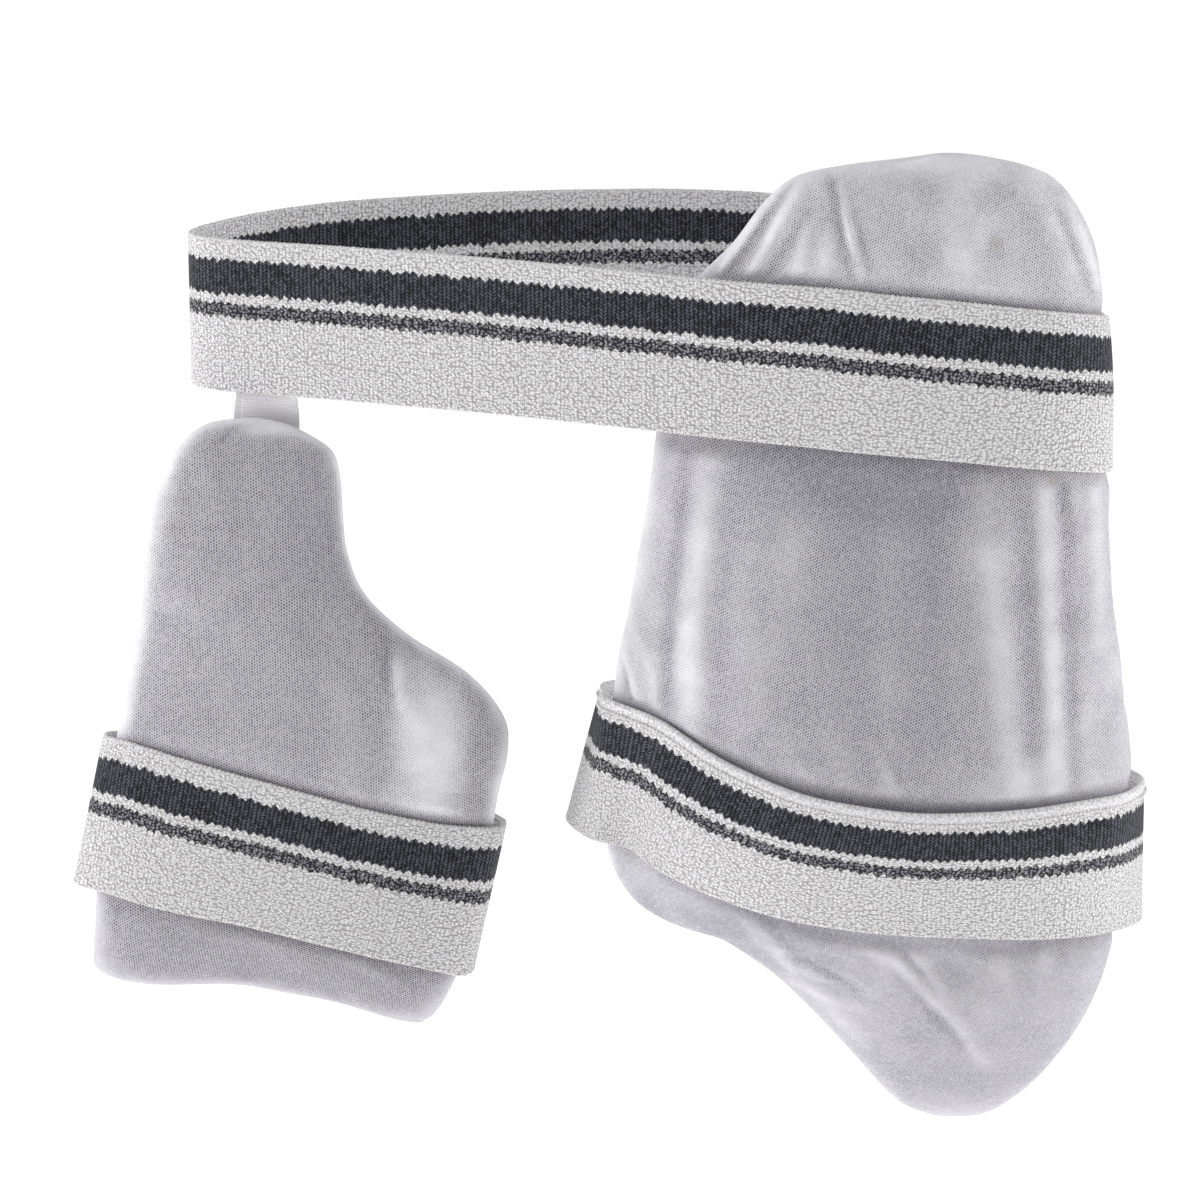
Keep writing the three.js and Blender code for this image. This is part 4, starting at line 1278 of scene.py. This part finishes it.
def make_pads():
    # Each stain's place in the cloth, its reach, its strength and its shade
    outer_stains = (
        ((144, 398), 7, 0.35, FAINT_STAIN),
        ((150, 420), 4, 0.25, FAINT_STAIN),
        ((171, 298), 5, 0.5, FAINT_STAIN),
        ((62, 197), 0.8, 0.8, SPECK),
    )
    inner_stains = (
        ((12, 212), 8, 0.3, FAINT_STAIN),
        ((38, 216), 5, 0.22, FAINT_STAIN),
        ((129, 109), 0.8, 0.8, SPECK),
    )
    outer_knit = pad_cover("outer cover knit", turn=8, wale=1.05, course=1.3, stains=outer_stains)
    inner_knit = pad_cover("inner cover knit", turn=-14, wale=1.15, course=1.3, stains=inner_stains)
    outer = panel_skin("outer_thigh_pad_cover", outer_panel, OUTER_GRID, OUTER_FOLDS, outer_knit_and_painted_shade, 5)
    inner = panel_skin("inner_thigh_pad_cover", inner_panel, INNER_GRID, INNER_FOLDS, inner_knit_and_painted_light, 8)
    corners = np.empty(len(inner.data.vertices) * 3)
    inner.data.vertices.foreach_get("co", corners)
    inner.data.vertices.foreach_set("co", (hang(corners.reshape(-1, 3) / MM) * MM).ravel())
    finish(outer, "outer_thigh_pad", outer_knit)
    finish(inner, "inner_thigh_pad", inner_knit)


def make_band(name, group, rim_yarn, stations, steps, width, looks, rims, place=lambda points: points):
    """A loop of striped elastic, with loops of yarn turned over its rims. looks holds its
    material's name, how much thicker its upper rim is rolled, and how high that rim is left
    plain; rims holds each rim's side, its sign and its seed. It gives the band's guide lines."""
    rings, pattern, lines = band_rings(stations, steps, width, looks["roll"])
    band = skin(name + "_elastic", place(rings), pattern, True)
    elastic = striped_elastic(looks["name"], width, looks["plain_rim"])
    finish(band, name, elastic)
    outward = place(lines["out"]) - place(0 * lines["out"])
    for side, sign, seed in rims:
        crest = place(lines[side] + sign * lines["across"] * RIM_LOOPS_OUT)
        row = stitches(f"{name}_{side}_rim", group, crest, outward, RIM_LOOP, seed, rim_yarn)
        finish(row, name)
    return lines


def make_bands():
    group = stitch_group()
    white = yarn("rim yarn", RIM_YARN)
    plain = {"roll": 0.0, "plain_rim": 0.0}
    make_band(
        "waist_belt",
        group,
        white,
        belt_stations(),
        LOOP_STEPS["waist"],
        belt_width,
        {"name": "belt elastic", **plain},
        (("upper", 1, 21), ("lower", -1, 19)),
    )
    lines = make_band(
        "outer_leg_strap",
        group,
        white,
        strap_stations(outer_panel, OUTER_LOOP, outer_band, OUTER_STRAP_ON_PAD, OUTER_STRAP_FREE),
        LOOP_STEPS["outer"],
        outer_strap_width,
        {"name": "outer strap elastic", "roll": 0.25, "plain_rim": 2.9},
        (("lower", -1, 29),),
    )
    crest = lines["upper"] - lines["across"] * BEADS["below_rim"] + lines["out"] * BEADS["out"]
    beads = stitches("outer_leg_strap_bead_stitches", group, crest, lines["out"], BEAD_STITCH, 41, white)
    finish(beads, "outer_leg_strap")
    make_band(
        "inner_leg_strap",
        group,
        white,
        strap_stations(inner_panel, INNER_LOOP, inner_band, INNER_STRAP_ON_PAD, INNER_STRAP_FREE),
        LOOP_STEPS["inner"],
        inner_strap_width,
        {"name": "inner strap elastic", **plain},
        (("upper", 1, 51), ("lower", -1, 49)),
        hang,
    )


def tape_layer(name, material, set_in, back):
    """One layer of the tape that the inner pad hangs by, turning from the belt's direction to
    the pad's. set_in is how far its left edge stands in, back how far it lies behind."""
    share = np.linspace(0, 1, TAPE_STEPS["along"])
    low = belt_foot - TAB_LENGTH["shown"] - TAB_LENGTH["on_pad"]
    high = belt_foot + TAB_LENGTH["on_belt"]
    z = low + (high - low) * share
    turned = smooth(1 - (belt_foot - z) / TAB_LENGTH["twist"]) * belt_turn
    half = (TAB["foot"] + (TAB["top"] - TAB["foot"]) * share) / 2
    angles = np.linspace(0, 2 * np.pi, TAPE_STEPS["round"], endpoint=False)
    side = -np.sign(np.cos(angles)) * np.abs(np.cos(angles)) ** 0.25
    depth = -np.sign(np.sin(angles)) * np.abs(np.sin(angles)) ** 0.6
    along = side[None, :] * (half - set_in / 2)[:, None] + set_in / 2
    through = depth[None, :] * TAB_LAYER["thickness"] / 2 + back + 0 * along
    x = tab_top[0] + along * np.cos(turned)[:, None] - through * np.sin(turned)[:, None]
    y = tab_line + along * np.sin(turned)[:, None] + through * np.cos(turned)[:, None]
    height = z[:, None] + 0 * x
    tape = skin(name, np.stack([x, y, height], -1), np.stack([along, height], -1), False)
    finish(tape, "hanging_tab", material)


def make_tab():
    weave = woven_tape("tape weave")
    tape_layer("hanging_tape_front", weave, TAB_LAYER["set_in"], -TAB["thickness"] / 4)
    tape_layer("hanging_tape_back", weave, 0, TAB["thickness"] / 4)


def make_studio():
    """A pale floor at standing height below the waist, soft side lights and a bright room."""
    floor_mesh = bpy.data.meshes.new("floor")
    reach, level = 36.0, -0.95
    corners = [(x * reach, y * reach, level) for x, y in ((-1, -1), (1, -1), (1, 1), (-1, 1))]
    floor_mesh.from_pydata(corners, [], [(0, 1, 2, 3)])
    floor = bpy.data.objects.new("floor", floor_mesh)
    bpy.context.scene.collection.objects.link(floor)
    shades = Shades("pale floor")
    shades.surface.inputs["Base Color"].default_value = (0.9, 0.9, 0.9, 1)
    shades.surface.inputs["Emission Color"].default_value = (1, 1, 1, 1)
    shades.surface.inputs["Emission Strength"].default_value = 0.85
    shades.surface.inputs["Roughness"].default_value = 1.0
    floor_mesh.materials.append(shades.material)

    world = bpy.data.worlds.new("bright room")
    bpy.context.scene.world = world
    world.use_nodes = True
    nodes, links = world.node_tree.nodes, world.node_tree.links
    nodes["Background"].inputs["Color"].default_value = (1, 1, 1, 1)
    nodes["Background"].inputs["Strength"].default_value = 0.3
    bare = nodes.new("ShaderNodeBackground")
    bare.inputs["Color"].default_value = (1, 1, 1, 1)
    bare.inputs["Strength"].default_value = 1.0
    seen = nodes.new("ShaderNodeLightPath")
    choose = nodes.new("ShaderNodeMixShader")
    links.new(seen.outputs["Is Camera Ray"], choose.inputs[0])
    links.new(nodes["Background"].outputs[0], choose.inputs[1])
    links.new(bare.outputs[0], choose.inputs[2])
    links.new(choose.outputs[0], nodes["World Output"].inputs[0])

    middle = Vector((0.0, -0.02, -0.12))
    # Each lamp's name, place, size in metres and power in watts
    lamps = (
        ("left_soft_box", (-1.9, -0.2, 0.35), 1.0, 25.0),
        ("right_soft_box", (1.9, -0.15, 0.3), 1.0, 21.0),
        ("top_soft_box", (0.0, -1.0, 1.6), 1.2, 7.0),
        ("back_soft_box", (0.1, 1.8, 0.9), 1.4, 14.0),
    )
    for name, place, size, power in lamps:
        lamp = bpy.data.lights.new(name, "AREA")
        lamp.size = size
        lamp.energy = power
        holder = bpy.data.objects.new(name, lamp)
        holder.location = place
        holder.rotation_euler = (middle - Vector(place)).to_track_quat("-Z", "Y").to_euler()
        bpy.context.scene.collection.objects.link(holder)


def make_camera():
    """The photograph's viewpoint: level with the pads' middle, looking down by 13 degrees."""
    aim = Vector((-0.018, -0.086, -0.105))
    down, distance = math.radians(13), 1.5
    lens = bpy.data.cameras.new("camera")
    lens.lens = 108
    lens.sensor_width = 36
    lens.clip_start = 0.05
    camera = bpy.data.objects.new("camera", lens)
    camera.location = aim + distance * Vector((0, -math.cos(down), math.sin(down)))
    camera.rotation_euler = (math.pi / 2 - down, 0, 0)
    bpy.context.scene.collection.objects.link(camera)
    bpy.context.scene.camera = camera
    bpy.context.scene.view_settings.view_transform = "Standard"


make_camera()
make_studio()
make_pads()
make_bands()
make_tab()
